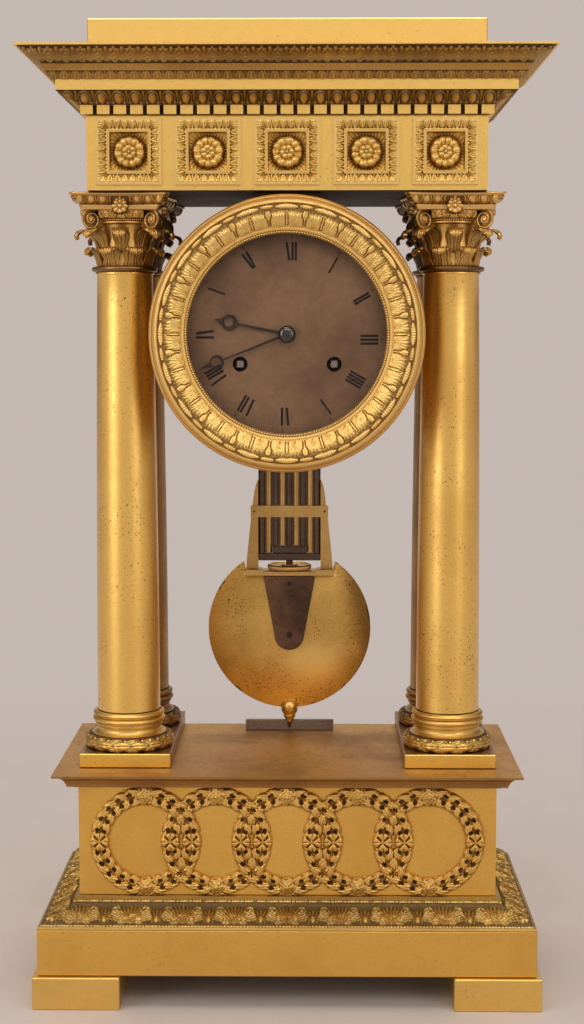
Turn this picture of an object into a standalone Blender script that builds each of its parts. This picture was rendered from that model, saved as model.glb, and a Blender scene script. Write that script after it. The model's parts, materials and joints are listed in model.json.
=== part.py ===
"""A portico clock in gilt bronze: four columns carry an entablature, from which a drum movement hangs.

Metres, +Z up. The front faces -Y, +X is to the right, and the origin is under the middle of the clock.
The mouldings run round the front and the two sides, and every block ends flush in one flat back.
"""

import math

import bmesh
import bpy
from mathutils import Matrix, Vector

# Clearances and overlaps that every piece shares
SEAT = 0.0003
SINK = 0.0005
OVERRUN = 0.002
BACK_Y = 0.0805

# Base: four feet, a block, a sloping moulding, the dado and the plinth slab
BASE_SETBACK = 0.0779
BLOCK_HALF_WIDTH = 0.1456
BLOCK_HEIGHT = 0.0275
BLOCK_WALL = 0.004
FOOT_OVERHANG = 0.0028
FOOT_WIDTH = 0.051
FOOT_DEPTH = 0.050
FOOT_HEIGHT = 0.0193
EDGE_ROUND = 0.0005
PALMETTE_INSET = 0.0224
PALMETTE_HEIGHT = 0.0138
PALMETTE_SHARES = (
    (0.0, 0.0),
    (-0.027, 0.106),
    (-0.277, 0.284),
    (-0.665, 0.51),
    (-0.826, 0.69),
    (-0.879, 0.85),
    (-0.879, 1.0),
)
DADO_HEIGHT = 0.065
DADO_WALL = 0.004
SLAB_OVERHANG = 0.0141
SLAB_HEIGHT = 0.0094
SLAB_SHARES = (
    (0.17, 0.0),
    (0.17, 0.11),
    (0.43, 0.13),
    (0.46, 0.30),
    (0.55, 0.55),
    (0.70, 0.75),
    (0.86, 0.86),
    (1.0, 0.87),
    (1.0, 1.0),
)
RAIL_WIDTH = 0.0543
RAIL_HEIGHT = 0.0083

# Wreath band on the dado: five rings that overlap, with a rose at the top and foot of each
WREATH_COUNT = 5
WREATH_PITCH = 0.0418
WREATH_RADIUS = 0.0273
WREATH_WIDTH = 0.0086
WREATH_RELIEF = 0.0036
WREATH_LEAVES = 9
WREATH_LEAF_RISE_SHARE = 0.16
WREATH_CENTRE_SHARE = 0.5
ROSE_RADIUS = 0.0049
ROSE_RELIEF = 0.0046
ROSE_PETALS = 4
ROSE_PETAL_SHARE = 0.14

# Columns, alike at the four corners
COLUMN_X = 0.0963
COLUMN_FRONT_Y = -0.0125
COLUMN_REAR_Y = 0.0496
BASE_RADIUS = 0.0268
BASE_HEIGHT = 0.0219
BASE_SHARES = (
    (0.765, 1.0),
    (0.80, 0.955),
    (0.765, 0.865),
    (0.815, 0.77),
    (0.77, 0.69),
    (0.73, 0.56),
    (0.83, 0.41),
    (0.93, 0.38),
    (1.0, 0.20),
    (0.90, 0.0),
)
SHAFT_FOOT_RADIUS = 0.01885
SHAFT_NECK_RADIUS = 0.0164
SHAFT_BORE = 0.0130
ENTASIS_SHARE = 0.18
ASTRAGAL_RADIUS = 0.0196
ASTRAGAL_HEIGHT = 0.003
TIE_ROD_RADIUS = 0.0022
TIE_ROD_HOLE = 0.0027
NUT_RADIUS = 0.0055
NUT_HEIGHT = 0.0042

# Capital: bell, abacus, corner volutes and two rows of leaves
CAPITAL_HEIGHT = 0.0414
ABACUS_HALF_WIDTH = 0.0292
ABACUS_HEIGHT = 0.0071
ABACUS_HOLLOW_SHARE = 0.12
ABACUS_LEVEL_SHARES = ((0.88, 0.0), (0.92, 0.40), (1.0, 0.62), (1.0, 1.0))
BELL_SHARES = (
    (1.20, 0.85),
    (1.20, 0.72),
    (1.02, 0.62),
    (1.09, 0.585),
    (0.98, 0.54),
    (0.93, 0.30),
    (1.0, 0.0),
)
VOLUTE_RADIUS = 0.0056
VOLUTE_THICKNESS = 0.0062
VOLUTE_REACH = 0.0272
VOLUTE_HEIGHT_SHARE = 0.635
FLOWER_RADIUS = 0.0046
FLOWER_RELIEF = 0.0028
LEAF_COUNT = 8
LEAF_THICKNESS = 0.0022
LOWER_LEAF_REACH = 0.0236
LOWER_LEAF_HEIGHT = 0.0100
UPPER_LEAF_REACH = 0.0302
UPPER_LEAF_HEIGHT = 0.0205
UPPER_LEAF_FOOT = 0.0075
LEAF_WIDTH = 0.0100
LEAF_SHARES = (
    (0.0, 0.04, 0.85),
    (0.25, 0.78, 1.0),
    (0.68, 1.0, 0.74),
    (1.0, 0.78, 0.40),
)

# Entablature: frieze with five coffers, cornice with dentils, attic slab
TOP_SETBACK = 0.0687
FRIEZE_HALF_WIDTH = 0.1141
FRIEZE_HEIGHT = 0.0416
COFFER_COUNT = 5
COFFER_PITCH = 0.045
COFFER_HALF_WIDTH = 0.0187
COFFER_POCKET_HALF = 0.0155
COFFER_PROUD = 0.0020
COFFER_DEPTH = 0.0085
COFFER_FLOOR_THICKNESS = 0.0014
COFFER_CENTRE_SHARE = 0.524
COFFER_OPENING_SHARE = 0.575
COFFER_FILLET_SHARE = 0.67
ROSETTE_RADIUS = 0.0089
ROSETTE_HEIGHT = 0.0068
ROSETTE_PETALS = 7
CORNICE_REACH = 0.0351
CORNICE_HEIGHT = 0.0351
CORNICE_SHARES = (
    (0.0, 0.0),
    (0.0, 0.150),
    (0.10, 0.154),
    (0.12, 0.195),
    (0.21, 0.26),
    (0.40, 0.345),
    (0.427, 0.349),
    (0.427, 0.52),
    (0.47, 0.55),
    (0.57, 0.627),
    (0.60, 0.70),
    (0.62, 0.727),
    (0.66, 0.80),
    (0.74, 0.87),
    (0.88, 0.925),
    (0.965, 0.960),
    (1.0, 0.964),
    (1.0, 1.0),
)
DENTIL_INTERVALS = 24
DENTIL_SIDE_INTERVALS = 13
DENTIL_WIDTH = 0.0070
DENTIL_REACH = 0.0028
DENTIL_LOW_SHARE = 0.012
DENTIL_TOP_SHARE = 0.165
ATTIC_HALF_WIDTH = 0.1131
ATTIC_HEIGHT = 0.0186

# Drum, bezel, dial and hands, turned about one axis
DIAL_HEIGHT = 0.392
BEZEL_RADIUS = 0.079
BEZEL_GAP = 0.0026
DRUM_INSET = 0.0140
DRUM_RADIUS = BEZEL_RADIUS - DRUM_INSET
DRUM_WALL = 0.0015
DRUM_FRONT_Y = -0.0417
DRUM_BACK_Y = 0.0440
FLANGE_INSET = 0.0055
FLANGE_RADIUS = BEZEL_RADIUS - FLANGE_INSET
FLANGE_THICKNESS = 0.0021
SADDLE_HALF_WIDTH = 0.020
SADDLE_FRONT_Y = -0.028
SADDLE_BACK_Y = 0.030
BEZEL_WIDTH = 0.0222
BEZEL_INNER_RADIUS = BEZEL_RADIUS - BEZEL_WIDTH
BEZEL_DEPTH = 0.0176
BEZEL_SHARES = (
    (0.70, 0.0),
    (0.595, 0.0),
    (0.50, 0.50),
    (0.081, 0.50),
    (0.081, 0.59),
    (0.0, 0.59),
    (0.0, 0.66),
    (0.06, 0.70),
    (0.13, 0.66),
    (0.24, 0.79),
    (0.44, 0.935),
    (0.667, 0.95),
    (0.73, 1.0),
    (0.84, 0.93),
    (0.94, 0.77),
    (1.0, 0.53),
    (1.0, 0.36),
    (0.93, 0.22),
    (0.90, 0.0),
)
GLASS_THICKNESS = 0.0011
DIAL_LAP = 0.0005
DIAL_RADIUS = DRUM_RADIUS + DIAL_LAP
DIAL_THICKNESS = 0.0012
WINDING_X = DRUM_RADIUS * 0.41692
WINDING_DROP = DRUM_RADIUS * 0.26308
WINDING_HOLE = 0.0044
PIPE_HOLE = 0.0032
HAND_THICKNESS = 0.0008
HOUR_HAND_GAP = 0.0012
MINUTE_HAND_GAP = 0.0030
HOUR_HAND_LENGTH = BEZEL_INNER_RADIUS * 0.73592
HOUR_RING_REACH = BEZEL_INNER_RADIUS * 0.60387
HOUR_RING_RADIUS = 0.0046
HOUR_HUB_RADIUS = 0.0042
HOUR_STEM_WIDTH = 0.0020
HOUR_HAND_DEGREES = 281.6
MINUTE_HAND_LENGTH = BEZEL_INNER_RADIUS * 0.95775
MINUTE_RING_REACH = BEZEL_INNER_RADIUS * 0.76761
MINUTE_RING_RADIUS = 0.0041
MINUTE_HUB_RADIUS = 0.0036
MINUTE_STEM_WIDTH = 0.0016
MINUTE_HAND_DEGREES = 248.4
MOON_HOLE_SHARE = 0.62
MOON_OFFSET_SHARE = 0.14
STEM_TAPER_SHARE = 0.62
ARBOR_RADIUS = 0.0015
RUNNING = 0.0003
PIPE_WALL = 0.0009
CAP_RADIUS = 0.0049
CAP_HEIGHT = 0.0034

# Bezel hinge, behind the left edge of the bezel
HINGE_INSET = 0.0035
HINGE_X = HINGE_INSET - BEZEL_RADIUS
HINGE_PIN_RADIUS = 0.0011
KNUCKLE_RADIUS = 0.0025
KNUCKLE_LENGTH = 0.0050
HINGE_DEPTH_SHARE = 0.55

# Movement between two round plates
FRONT_PLATE_Y = -0.0330
BACK_PLATE_Y = 0.0120
PLATE_THICKNESS = 0.0020
FRONT_PLATE_RADIUS = DRUM_RADIUS * 0.89231
BACK_PLATE_RADIUS = DRUM_RADIUS * 0.84615
PILLAR_RADIUS = 0.0030
PILLAR_INSET = 0.0070
PILLAR_REACH = BACK_PLATE_RADIUS - PILLAR_INSET
PILLAR_DEGREES = (25.0, 155.0, 250.0, 290.0)
DIAL_FOOT_RADIUS = 0.0014
DIAL_FOOT_INSET = 0.0050
DIAL_FOOT_REACH = FRONT_PLATE_RADIUS - DIAL_FOOT_INSET
DIAL_FOOT_DEGREES = (60.0, 180.0, 300.0)
WIND_ARBOR_RADIUS = 0.0021
WIND_SQUARE = 0.0037
WIND_SQUARE_LENGTH = 0.0100
BARREL_RADIUS = DRUM_RADIUS * 0.31538
BARREL_LENGTH = 0.0300
BARREL_HUB_RADIUS = 0.0045
GREAT_WHEEL_RADIUS = DRUM_RADIUS * 0.36308
GREAT_WHEEL_THICKNESS = 0.0020
GREAT_WHEEL_TEETH = 20
TOOTH_DEPTH = 0.0012
COUNT_WHEEL_X = DRUM_RADIUS * -0.41538
COUNT_WHEEL_RISE = DRUM_RADIUS * 0.4
COUNT_WHEEL_RADIUS = DRUM_RADIUS * 0.23077
COUNT_WHEEL_THICKNESS = 0.0012
COUNT_WHEEL_NOTCHES = 11
STUD_RADIUS = 0.0016
BELL_RADIUS = DRUM_RADIUS * 0.38462
BELL_LENGTH = 0.0150
BELL_WALL = 0.0014
BELL_DROP = DRUM_RADIUS * 0.12308
BELL_MOUTH_GAP = 0.0060
HAMMER_X = DRUM_RADIUS * 0.55385
HAMMER_DROP = DRUM_RADIUS * 0.64615
HAMMER_HEAD_RADIUS = 0.0032
HAMMER_GAP = 0.0018
HAMMER_WIRE_RADIUS = 0.0009
HAMMER_BOSS_RADIUS = 0.0026

# Suspension, crutch and gridiron pendulum
PENDULUM_Y = 0.0575
SUSPENSION_INSET = 0.0070
SUSPENSION_HEIGHT = DIAL_HEIGHT + BACK_PLATE_RADIUS - SUSPENSION_INSET
COCK_HALF_WIDTH = 0.0085
COCK_POST_WIDTH = 0.0030
COCK_DROP = 0.0060
COCK_RISE = 0.0110
COCK_PLATE_BACK_Y = 0.0445
COCK_PLATE_THICKNESS = 0.0025
COCK_CLIP_HALF = 0.0024
CRUTCH_THICKNESS = 0.0012
CRUTCH_WIDTH = 0.0040
CRUTCH_LENGTH = 0.0150
CRUTCH_PIN_RADIUS = 0.0009
ANCHOR_SPAN = 0.0130
ANCHOR_THICKNESS = 0.0020
ANCHOR_BAND = 0.0038
STRAP_HALF_WIDTH = 0.0045
STRAP_THICKNESS = 0.0016
ROD_RADIUS = 0.00185
ROD_PITCH = 0.00443
BAR_DEPTH = 0.0060
BAR_HEIGHT = 0.0045
BAR_END = 0.00195
GRID_BOTTOM = 0.2483
GRID_DROP = 0.0210
GRID_TOP = SUSPENSION_HEIGHT - GRID_DROP
GRID_STEP = 0.0050
CHEEK_INNER_GAP = 0.00035
CHEEK_FOOT_WIDTH = 0.0077
CHEEK_HEIGHT = 0.0567
CHEEK_THICKNESS = 0.0052
CHEEK_SHARES = (
    (1.0, 0.0),
    (0.97, 0.085),
    (0.72, 0.42),
    (0.43, 0.76),
    (0.32, 0.87),
    (0.18, 0.95),
    (0.04, 1.0),
)
TIE_HEIGHT_SHARE = 0.65
TIE_WIDTH = 0.0073
TIE_HALF_LENGTH = 0.02475
TIE_THICKNESS = 0.0012
YOKE_HALF_WIDTH = 0.0285
YOKE_BOTTOM = 0.2389
YOKE_THICKNESS = 0.0038
YOKE_FRONT = 0.0092
YOKE_BACK = 0.0080
YOKE_CHAMFER = 0.0012
NUT_DISC_RADIUS = 0.01415
NUT_DISC_THICKNESS = 0.0028
NUT_KNURLS = 20
NUT_KNURL_DEPTH = 0.0003
TONGUE_TOP_HALF = 0.0165
TONGUE_FOOT_RADIUS = 0.0095
TONGUE_LENGTH = 0.0474
TONGUE_THICKNESS = 0.0015
TONGUE_HOLE = 0.0012
TONGUE_HOLE_DROP = 0.0045
BOB_RADIUS = 0.0520
BOB_TRAVEL = 0.0010
BOB_HEIGHT = 0.2040
BOB_HALF_THICKNESS = 0.0068
BOB_EDGE_HALF = 0.0009
BOB_CUT_ABOVE_YOKE = 0.0050
BALL_RADIUS = 0.00565
BALL_RISE = 0.0005
NEEDLE_TIP = 0.1379
BEAT_BAR_HALF_LENGTH = 0.0284
BEAT_BAR_HEIGHT = 0.0071
BEAT_BAR_THICKNESS = 0.0025
BEAT_BAR_GAP = 0.0027

# Finishes: colour, roughness and metallic value
GILT = ("gilt_bronze", (0.80, 0.50, 0.13), 0.34, 1.0)
BRASS = ("aged_brass", (0.66, 0.44, 0.16), 0.40, 1.0)
STEEL = ("dark_steel", (0.16, 0.13, 0.11), 0.38, 1.0)
BRIGHT = ("polished_steel", (0.62, 0.61, 0.60), 0.16, 1.0)
SILVERED = ("tarnished_silver", (0.30, 0.22, 0.16), 0.50, 0.8)
GLAZING = ("clear_glass", (0.90, 0.93, 0.93), 0.03, 0.0)

# Heights that follow from the stack, from the table to the top
BLOCK_LOW = FOOT_HEIGHT + SEAT
PALMETTE_LOW = BLOCK_LOW + BLOCK_HEIGHT + SEAT
DADO_LOW = PALMETTE_LOW + PALMETTE_HEIGHT + SEAT
SLAB_LOW = DADO_LOW + DADO_HEIGHT + SEAT
RAIL_LOW = SLAB_LOW + SLAB_HEIGHT + SEAT
COLUMN_LOW = RAIL_LOW + RAIL_HEIGHT + SEAT
SHAFT_LOW = COLUMN_LOW + BASE_HEIGHT + SEAT
FRIEZE_LOW = DIAL_HEIGHT + BEZEL_RADIUS + BEZEL_GAP
CAPITAL_LOW = FRIEZE_LOW - SEAT - CAPITAL_HEIGHT
SHAFT_HEIGHT = CAPITAL_LOW - SEAT - SHAFT_LOW
CORNICE_LOW = FRIEZE_LOW + FRIEZE_HEIGHT + SEAT
ATTIC_LOW = CORNICE_LOW + CORNICE_HEIGHT + SEAT

# Faces and half widths that follow from the plan
DADO_HALF_WIDTH = BLOCK_HALF_WIDTH - PALMETTE_INSET
DADO_FRONT_Y = BASE_SETBACK - DADO_HALF_WIDTH
FRIEZE_FRONT_Y = TOP_SETBACK - FRIEZE_HALF_WIDTH
DIAL_BACK_Y = DRUM_FRONT_Y - SEAT
DIAL_FRONT_Y = DIAL_BACK_Y - DIAL_THICKNESS
BEZEL_BACK_Y = DRUM_FRONT_Y - 2 * SEAT
HINGE_Y = DRUM_FRONT_Y + FLANGE_THICKNESS * HINGE_DEPTH_SHARE
WINDING_HEIGHT = DIAL_HEIGHT - WINDING_DROP
GRID_HALF_WIDTH = 4 * ROD_PITCH + BAR_END
YOKE_TOP = YOKE_BOTTOM + YOKE_THICKNESS

PARTS = bpy.data.collections.new("portico_clock")
CUTTERS = bpy.data.collections.new("portico_clock_cutters")


def start_scene():
    """Empties the scene and links the collection of parts and the one of cutters."""
    for old in list(bpy.data.objects):
        bpy.data.objects.remove(old)
    bpy.context.scene.collection.children.link(PARTS)
    bpy.context.scene.collection.children.link(CUTTERS)
    CUTTERS.hide_render = True


def finish_material(finish):
    name, colour, roughness, metallic = finish
    made = bpy.data.materials.get(name)
    if made is None:
        made = bpy.data.materials.new(name)
        made.use_nodes = True
        shader = made.node_tree.nodes["Principled BSDF"]
        shader.inputs["Base Color"].default_value = (*colour, 1.0)
        shader.inputs["Roughness"].default_value = roughness
        shader.inputs["Metallic"].default_value = metallic
    return made


def place(name, data, finish, location=(0, 0, 0), rotation=(0, 0, 0)):
    """A named object in the collection of parts, or in that of cutters if it has no finish."""
    made = bpy.data.objects.new(name, data)
    if finish is None:
        CUTTERS.objects.link(made)
        made.hide_render = True
        made.display_type = "WIRE"
    else:
        PARTS.objects.link(made)
        data.materials.append(finish_material(finish))
    made.location = location
    made.rotation_euler = rotation
    return made


def mesh_from(bm, name):
    bmesh.ops.recalc_face_normals(bm, faces=bm.faces)
    mesh = bpy.data.meshes.new(name)
    bm.to_mesh(mesh)
    bm.free()
    return mesh


def round_shading(mesh):
    mesh.shade_smooth()
    mesh.set_sharp_from_angle(angle=math.radians(35))


def add_box(bm, low, high):
    """A box between two corners, added to the mesh."""
    centre = (Vector(low) + Vector(high)) / 2
    size = Vector(high) - Vector(low)
    matrix = Matrix.Translation(centre) @ Matrix.Diagonal((*size, 1))
    bmesh.ops.create_cube(bm, size=1, matrix=matrix)


def add_rod(bm, start, end, radius, sides, end_radius=None):
    """A closed cylinder or cone from one point to another, added to the mesh."""
    start = Vector(start)
    along = Vector(end) - start
    turn = along.to_track_quat("Z", "Y").to_matrix().to_4x4()
    matrix = Matrix.Translation(start + along / 2) @ turn
    bmesh.ops.create_cone(
        bm,
        cap_ends=True,
        segments=sides,
        radius1=radius,
        radius2=radius if end_radius is None else end_radius,
        depth=along.length,
        matrix=matrix,
    )


def box(name, low, high, finish=None):
    bm = bmesh.new()
    add_box(bm, low, high)
    return place(name, mesh_from(bm, name), finish)


def add_loft(bm, sections):
    """Joins closed sections of equally many points with faces, and caps both ends."""
    rings = [[bm.verts.new(point) for point in section] for section in sections]
    count = len(rings[0])
    for lower, upper in zip(rings, rings[1:]):
        for i in range(count):
            j = (i + 1) % count
            bm.faces.new((lower[i], lower[j], upper[j], upper[i]))
    bm.faces.new(reversed(rings[0]))
    bm.faces.new(rings[-1])


def loft(name, sections, finish=None):
    bm = bmesh.new()
    add_loft(bm, sections)
    return place(name, mesh_from(bm, name), finish)


def turned(name, profile, finish=None, location=(0, 0, 0), facing_front=False, steps=20):
    """Turns a closed profile of (radius, height) about Z, or about Y with its height pointing forward."""
    mesh = bpy.data.meshes.new(name)
    open_at_axis = profile[0][0] == 0 and profile[-1][0] == 0
    edges = [(i, i + 1) for i in range(len(profile) - 1)]
    if not open_at_axis:
        edges.append((len(profile) - 1, 0))
    mesh.from_pydata([(radius, 0, height) for radius, height in profile], edges, [])
    rotation = (math.radians(90), 0, 0) if facing_front else (0, 0, 0)
    made = place(name, mesh, finish, location, rotation)
    screw = made.modifiers.new("turn", "SCREW")
    screw.axis = "Z"
    screw.steps = steps
    screw.render_steps = steps
    screw.use_merge_vertices = True
    screw.merge_threshold = 0.00001
    screw.use_smooth_shade = True
    return made


def plate(name, loops, thickness, finish=None):
    """A flat sheet with holes: loops of (x, y) points, thick along Z and centred on it."""
    curve = bpy.data.curves.new(name, "CURVE")
    curve.dimensions = "2D"
    curve.fill_mode = "BOTH"
    curve.extrude = thickness / 2
    for loop in loops:
        spline = curve.splines.new("POLY")
        spline.points.add(len(loop) - 1)
        for point, (x, y) in zip(spline.points, loop):
            point.co = (x, y, 0, 1)
        spline.use_cyclic_u = True
    return place(name, curve, finish)


def as_mesh(made, finish=None):
    """Replaces an object by one that holds its evaluated mesh, with the loose caps of a curve welded."""
    bpy.context.view_layer.update()
    graph = bpy.context.evaluated_depsgraph_get()
    mesh = bpy.data.meshes.new_from_object(made.evaluated_get(graph))
    bm = bmesh.new()
    bm.from_mesh(mesh)
    bmesh.ops.remove_doubles(bm, verts=bm.verts, dist=0.000001)
    bm.to_mesh(mesh)
    bm.free()
    name = made.name
    matrix = made.matrix_world.copy()
    bpy.data.objects.remove(made)
    mesh.materials.clear()
    fresh = place(name, mesh, finish)
    fresh.matrix_world = matrix
    return fresh


def combine(made, other, operation):
    """A Boolean modifier that joins another object to this one or cuts it away."""
    step = made.modifiers.new(other.name, "BOOLEAN")
    step.operation = operation
    step.solver = "EXACT"
    step.object = other
    return made


def cut(made, cutter):
    return combine(made, cutter, "DIFFERENCE")


def join(made, other):
    return combine(made, other, "UNION")


def bevelled(made, width):
    step = made.modifiers.new("edge", "BEVEL")
    step.width = width
    step.segments = 1
    step.limit_method = "ANGLE"
    return made


def circle(radius, count, centre=(0, 0), start=0.0):
    """Points round a circle, counted from its right-hand side."""
    turn = 2 * math.pi / count
    return [
        (
            centre[0] + radius * math.cos(start + turn * i),
            centre[1] + radius * math.sin(start + turn * i),
        )
        for i in range(count)
    ]


def lobed(radius, lobes, depth_share, per_lobe):
    """Points round a circle whose radius swells once for each lobe."""
    points = []
    for i in range(lobes * per_lobe):
        angle = 2 * math.pi * i / (lobes * per_lobe)
        swell = radius * (1 - depth_share * (1 - math.cos(angle * lobes)) / 2)
        points.append((swell * math.cos(angle), swell * math.sin(angle)))
    return points


def toothed(radius, teeth, depth):
    """Points of a wheel's rim with a tooth and a gap for each count."""
    points = []
    for i in range(teeth * 2):
        reach = radius if i % 2 else radius - depth
        angle = math.pi * i / teeth
        points.append((reach * math.cos(angle), reach * math.sin(angle)))
    return points


def plan(half_width, setback, height):
    """A block's outline at one height: it grows to the front and both sides, and its back stays."""
    front = setback - half_width
    return [
        (-half_width, front, height),
        (half_width, front, height),
        (half_width, BACK_Y, height),
        (-half_width, BACK_Y, height),
    ]


def moulded_block(name, half_width, setback, low, height, reach, shares, finish):
    """A block whose front and sides follow one moulding, given in shares of its reach and height."""
    sections = [
        plan(half_width + out * reach, setback, low + up * height) for out, up in shares
    ]
    return loft(name, sections, finish)


def hollow(made, half_width, setback, low, high, wall):
    """Opens a block from below to above, leaving its walls."""
    core = box(
        made.name + "_core",
        (-half_width, setback - half_width, low - OVERRUN),
        (half_width, BACK_Y - wall, high + OVERRUN),
    )
    return cut(made, core)


def build_base():
    foot_out = BLOCK_HALF_WIDTH + FOOT_OVERHANG
    foot_front = BASE_SETBACK - foot_out
    for side, sign in (("left", -1), ("right", 1)):
        near = sign * (foot_out - FOOT_WIDTH)
        far = sign * foot_out
        rows = (
            ("front", foot_front, foot_front + FOOT_DEPTH),
            ("rear", BACK_Y - FOOT_DEPTH, BACK_Y),
        )
        for row, start, end in rows:
            low = (min(near, far), start, 0)
            high = (max(near, far), end, FOOT_HEIGHT)
            bevelled(box(f"foot_{row}_{side}", low, high, GILT), EDGE_ROUND)
    straight = ((0, 0), (0, 1))
    block = moulded_block(
        "base_block", BLOCK_HALF_WIDTH, BASE_SETBACK, BLOCK_LOW, BLOCK_HEIGHT, 0, straight, GILT
    )
    bevelled(block, EDGE_ROUND)
    hollow(
        block,
        BLOCK_HALF_WIDTH - BLOCK_WALL,
        BASE_SETBACK,
        BLOCK_LOW,
        BLOCK_LOW + BLOCK_HEIGHT,
        BLOCK_WALL,
    )
    slope = moulded_block(
        "palmette_moulding",
        BLOCK_HALF_WIDTH,
        BASE_SETBACK,
        PALMETTE_LOW,
        PALMETTE_HEIGHT,
        PALMETTE_INSET,
        PALMETTE_SHARES,
        GILT,
    )
    dado = moulded_block(
        "dado", DADO_HALF_WIDTH, BASE_SETBACK, DADO_LOW, DADO_HEIGHT, 0, straight, GILT
    )
    inner = DADO_HALF_WIDTH - DADO_WALL
    hollow(slope, inner, BASE_SETBACK, PALMETTE_LOW, PALMETTE_LOW + PALMETTE_HEIGHT, DADO_WALL)
    hollow(dado, inner, BASE_SETBACK, DADO_LOW, DADO_LOW + DADO_HEIGHT, DADO_WALL)
    slab = moulded_block(
        "plinth_slab",
        DADO_HALF_WIDTH,
        BASE_SETBACK,
        SLAB_LOW,
        SLAB_HEIGHT,
        SLAB_OVERHANG,
        SLAB_SHARES,
        GILT,
    )
    rail_out = COLUMN_X + RAIL_WIDTH / 2
    rail_front = COLUMN_FRONT_Y - (rail_out - COLUMN_X)
    for side, sign in (("left", -1), ("right", 1)):
        edges = sorted((sign * (rail_out - RAIL_WIDTH), sign * rail_out))
        rail = box(
            f"rail_{side}",
            (edges[0], rail_front, RAIL_LOW),
            (edges[1], BACK_Y, RAIL_LOW + RAIL_HEIGHT),
            GILT,
        )
        bevelled(rail, EDGE_ROUND)
        bm = bmesh.new()
        for y in (COLUMN_FRONT_Y, COLUMN_REAR_Y):
            start = (sign * COLUMN_X, y, SLAB_LOW - OVERRUN)
            end = (sign * COLUMN_X, y, RAIL_LOW + RAIL_HEIGHT + OVERRUN)
            add_rod(bm, start, end, TIE_ROD_HOLE, 12)
        bores = place(f"rod_bores_{side}", mesh_from(bm, "rod_bores"), None)
        cut(rail, bores)
        cut(slab, bores)


def build_wreaths():
    """Five overlapping rings of leaves, joined into one casting, with roses where they show most."""
    centre_z = DADO_LOW + DADO_HEIGHT * WREATH_CENTRE_SHARE
    back = DADO_FRONT_Y - SEAT
    first = -WREATH_PITCH * (WREATH_COUNT - 1) / 2
    major = WREATH_LEAVES * 2
    relief_shares = ((-1.0, 0.0), (-0.62, 1.0), (0.62, 1.0), (1.0, 0.0))
    rings = []
    for index in range(WREATH_COUNT):
        bm = bmesh.new()
        grid = []
        for i in range(major):
            angle = 2 * math.pi * i / major
            rise = 1 + WREATH_LEAF_RISE_SHARE * (1 if i % 2 else -1)
            row = []
            for across, up in relief_shares:
                reach = WREATH_RADIUS + across * rise * WREATH_WIDTH / 2
                x = first + index * WREATH_PITCH + reach * math.sin(angle)
                z = centre_z + reach * math.cos(angle)
                row.append(bm.verts.new((x, back - up * WREATH_RELIEF, z)))
            grid.append(row)
        for i in range(major):
            row, following = grid[i], grid[(i + 1) % major]
            for j in range(len(row)):
                k = (j + 1) % len(row)
                bm.faces.new((row[j], row[k], following[k], following[j]))
        ring = place(f"wreath_ring_{index}", mesh_from(bm, "wreath_ring"), None)
        rings.append(ring)
    bm = bmesh.new()
    for index in range(WREATH_COUNT):
        for sign in (-1, 1):
            x = first + index * WREATH_PITCH
            z = centre_z + sign * WREATH_RADIUS
            sections = []
            for size, up in ((1.0, 0.0), (0.72, 1.0)):
                rim = lobed(ROSE_RADIUS * size, ROSE_PETALS, ROSE_PETAL_SHARE, 2)
                sections.append([(x + u, back - up * ROSE_RELIEF, z + v) for u, v in rim])
            add_loft(bm, sections)
    roses = place("wreath_roses", mesh_from(bm, "wreath_roses"), None)
    band = place("wreath_band", rings[0].data.copy(), GILT)
    for ring in rings[1:]:
        join(band, ring)
    join(band, roses)


def leaf_sections(foot_height, height, reach, angle, width):
    """One leaf that rises close to the bell, then curls outward and tips over."""
    sections = []
    path = [
        (
            SHAFT_NECK_RADIUS - SINK + out * (reach - SHAFT_NECK_RADIUS + SINK),
            foot_height + up * height,
            wide * width / 2,
        )
        for out, up, wide in LEAF_SHARES
    ]
    for i, (radius, level, half) in enumerate(path):
        before = path[max(i - 1, 0)]
        after = path[min(i + 1, len(path) - 1)]
        run = Vector((after[0] - before[0], after[1] - before[1])).normalized()
        normal = Vector((run.y, -run.x)) * LEAF_THICKNESS / 2
        corners = ((-half, -1), (half, -1), (0, 1))
        section = []
        for side, face in corners:
            r = radius + face * normal.x
            z = level + face * normal.y
            x = r * math.cos(angle) - side * math.sin(angle)
            y = r * math.sin(angle) + side * math.cos(angle)
            section.append((x, y, z))
        sections.append(section)
    return sections


def abacus_outline(scale):
    """A square with hollowed sides and clipped corners."""
    half = ABACUS_HALF_WIDTH * scale
    dip = half * ABACUS_HOLLOW_SHARE
    points = []
    for quarter in range(4):
        turn = math.pi / 2 * quarter
        for share in (-0.86, 0.0, 0.86):
            across = half * share
            out = half - dip * math.cos(share * math.pi / 2)
            points.append(
                (
                    out * math.cos(turn) - across * math.sin(turn),
                    out * math.sin(turn) + across * math.cos(turn),
                )
            )
    return points


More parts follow.
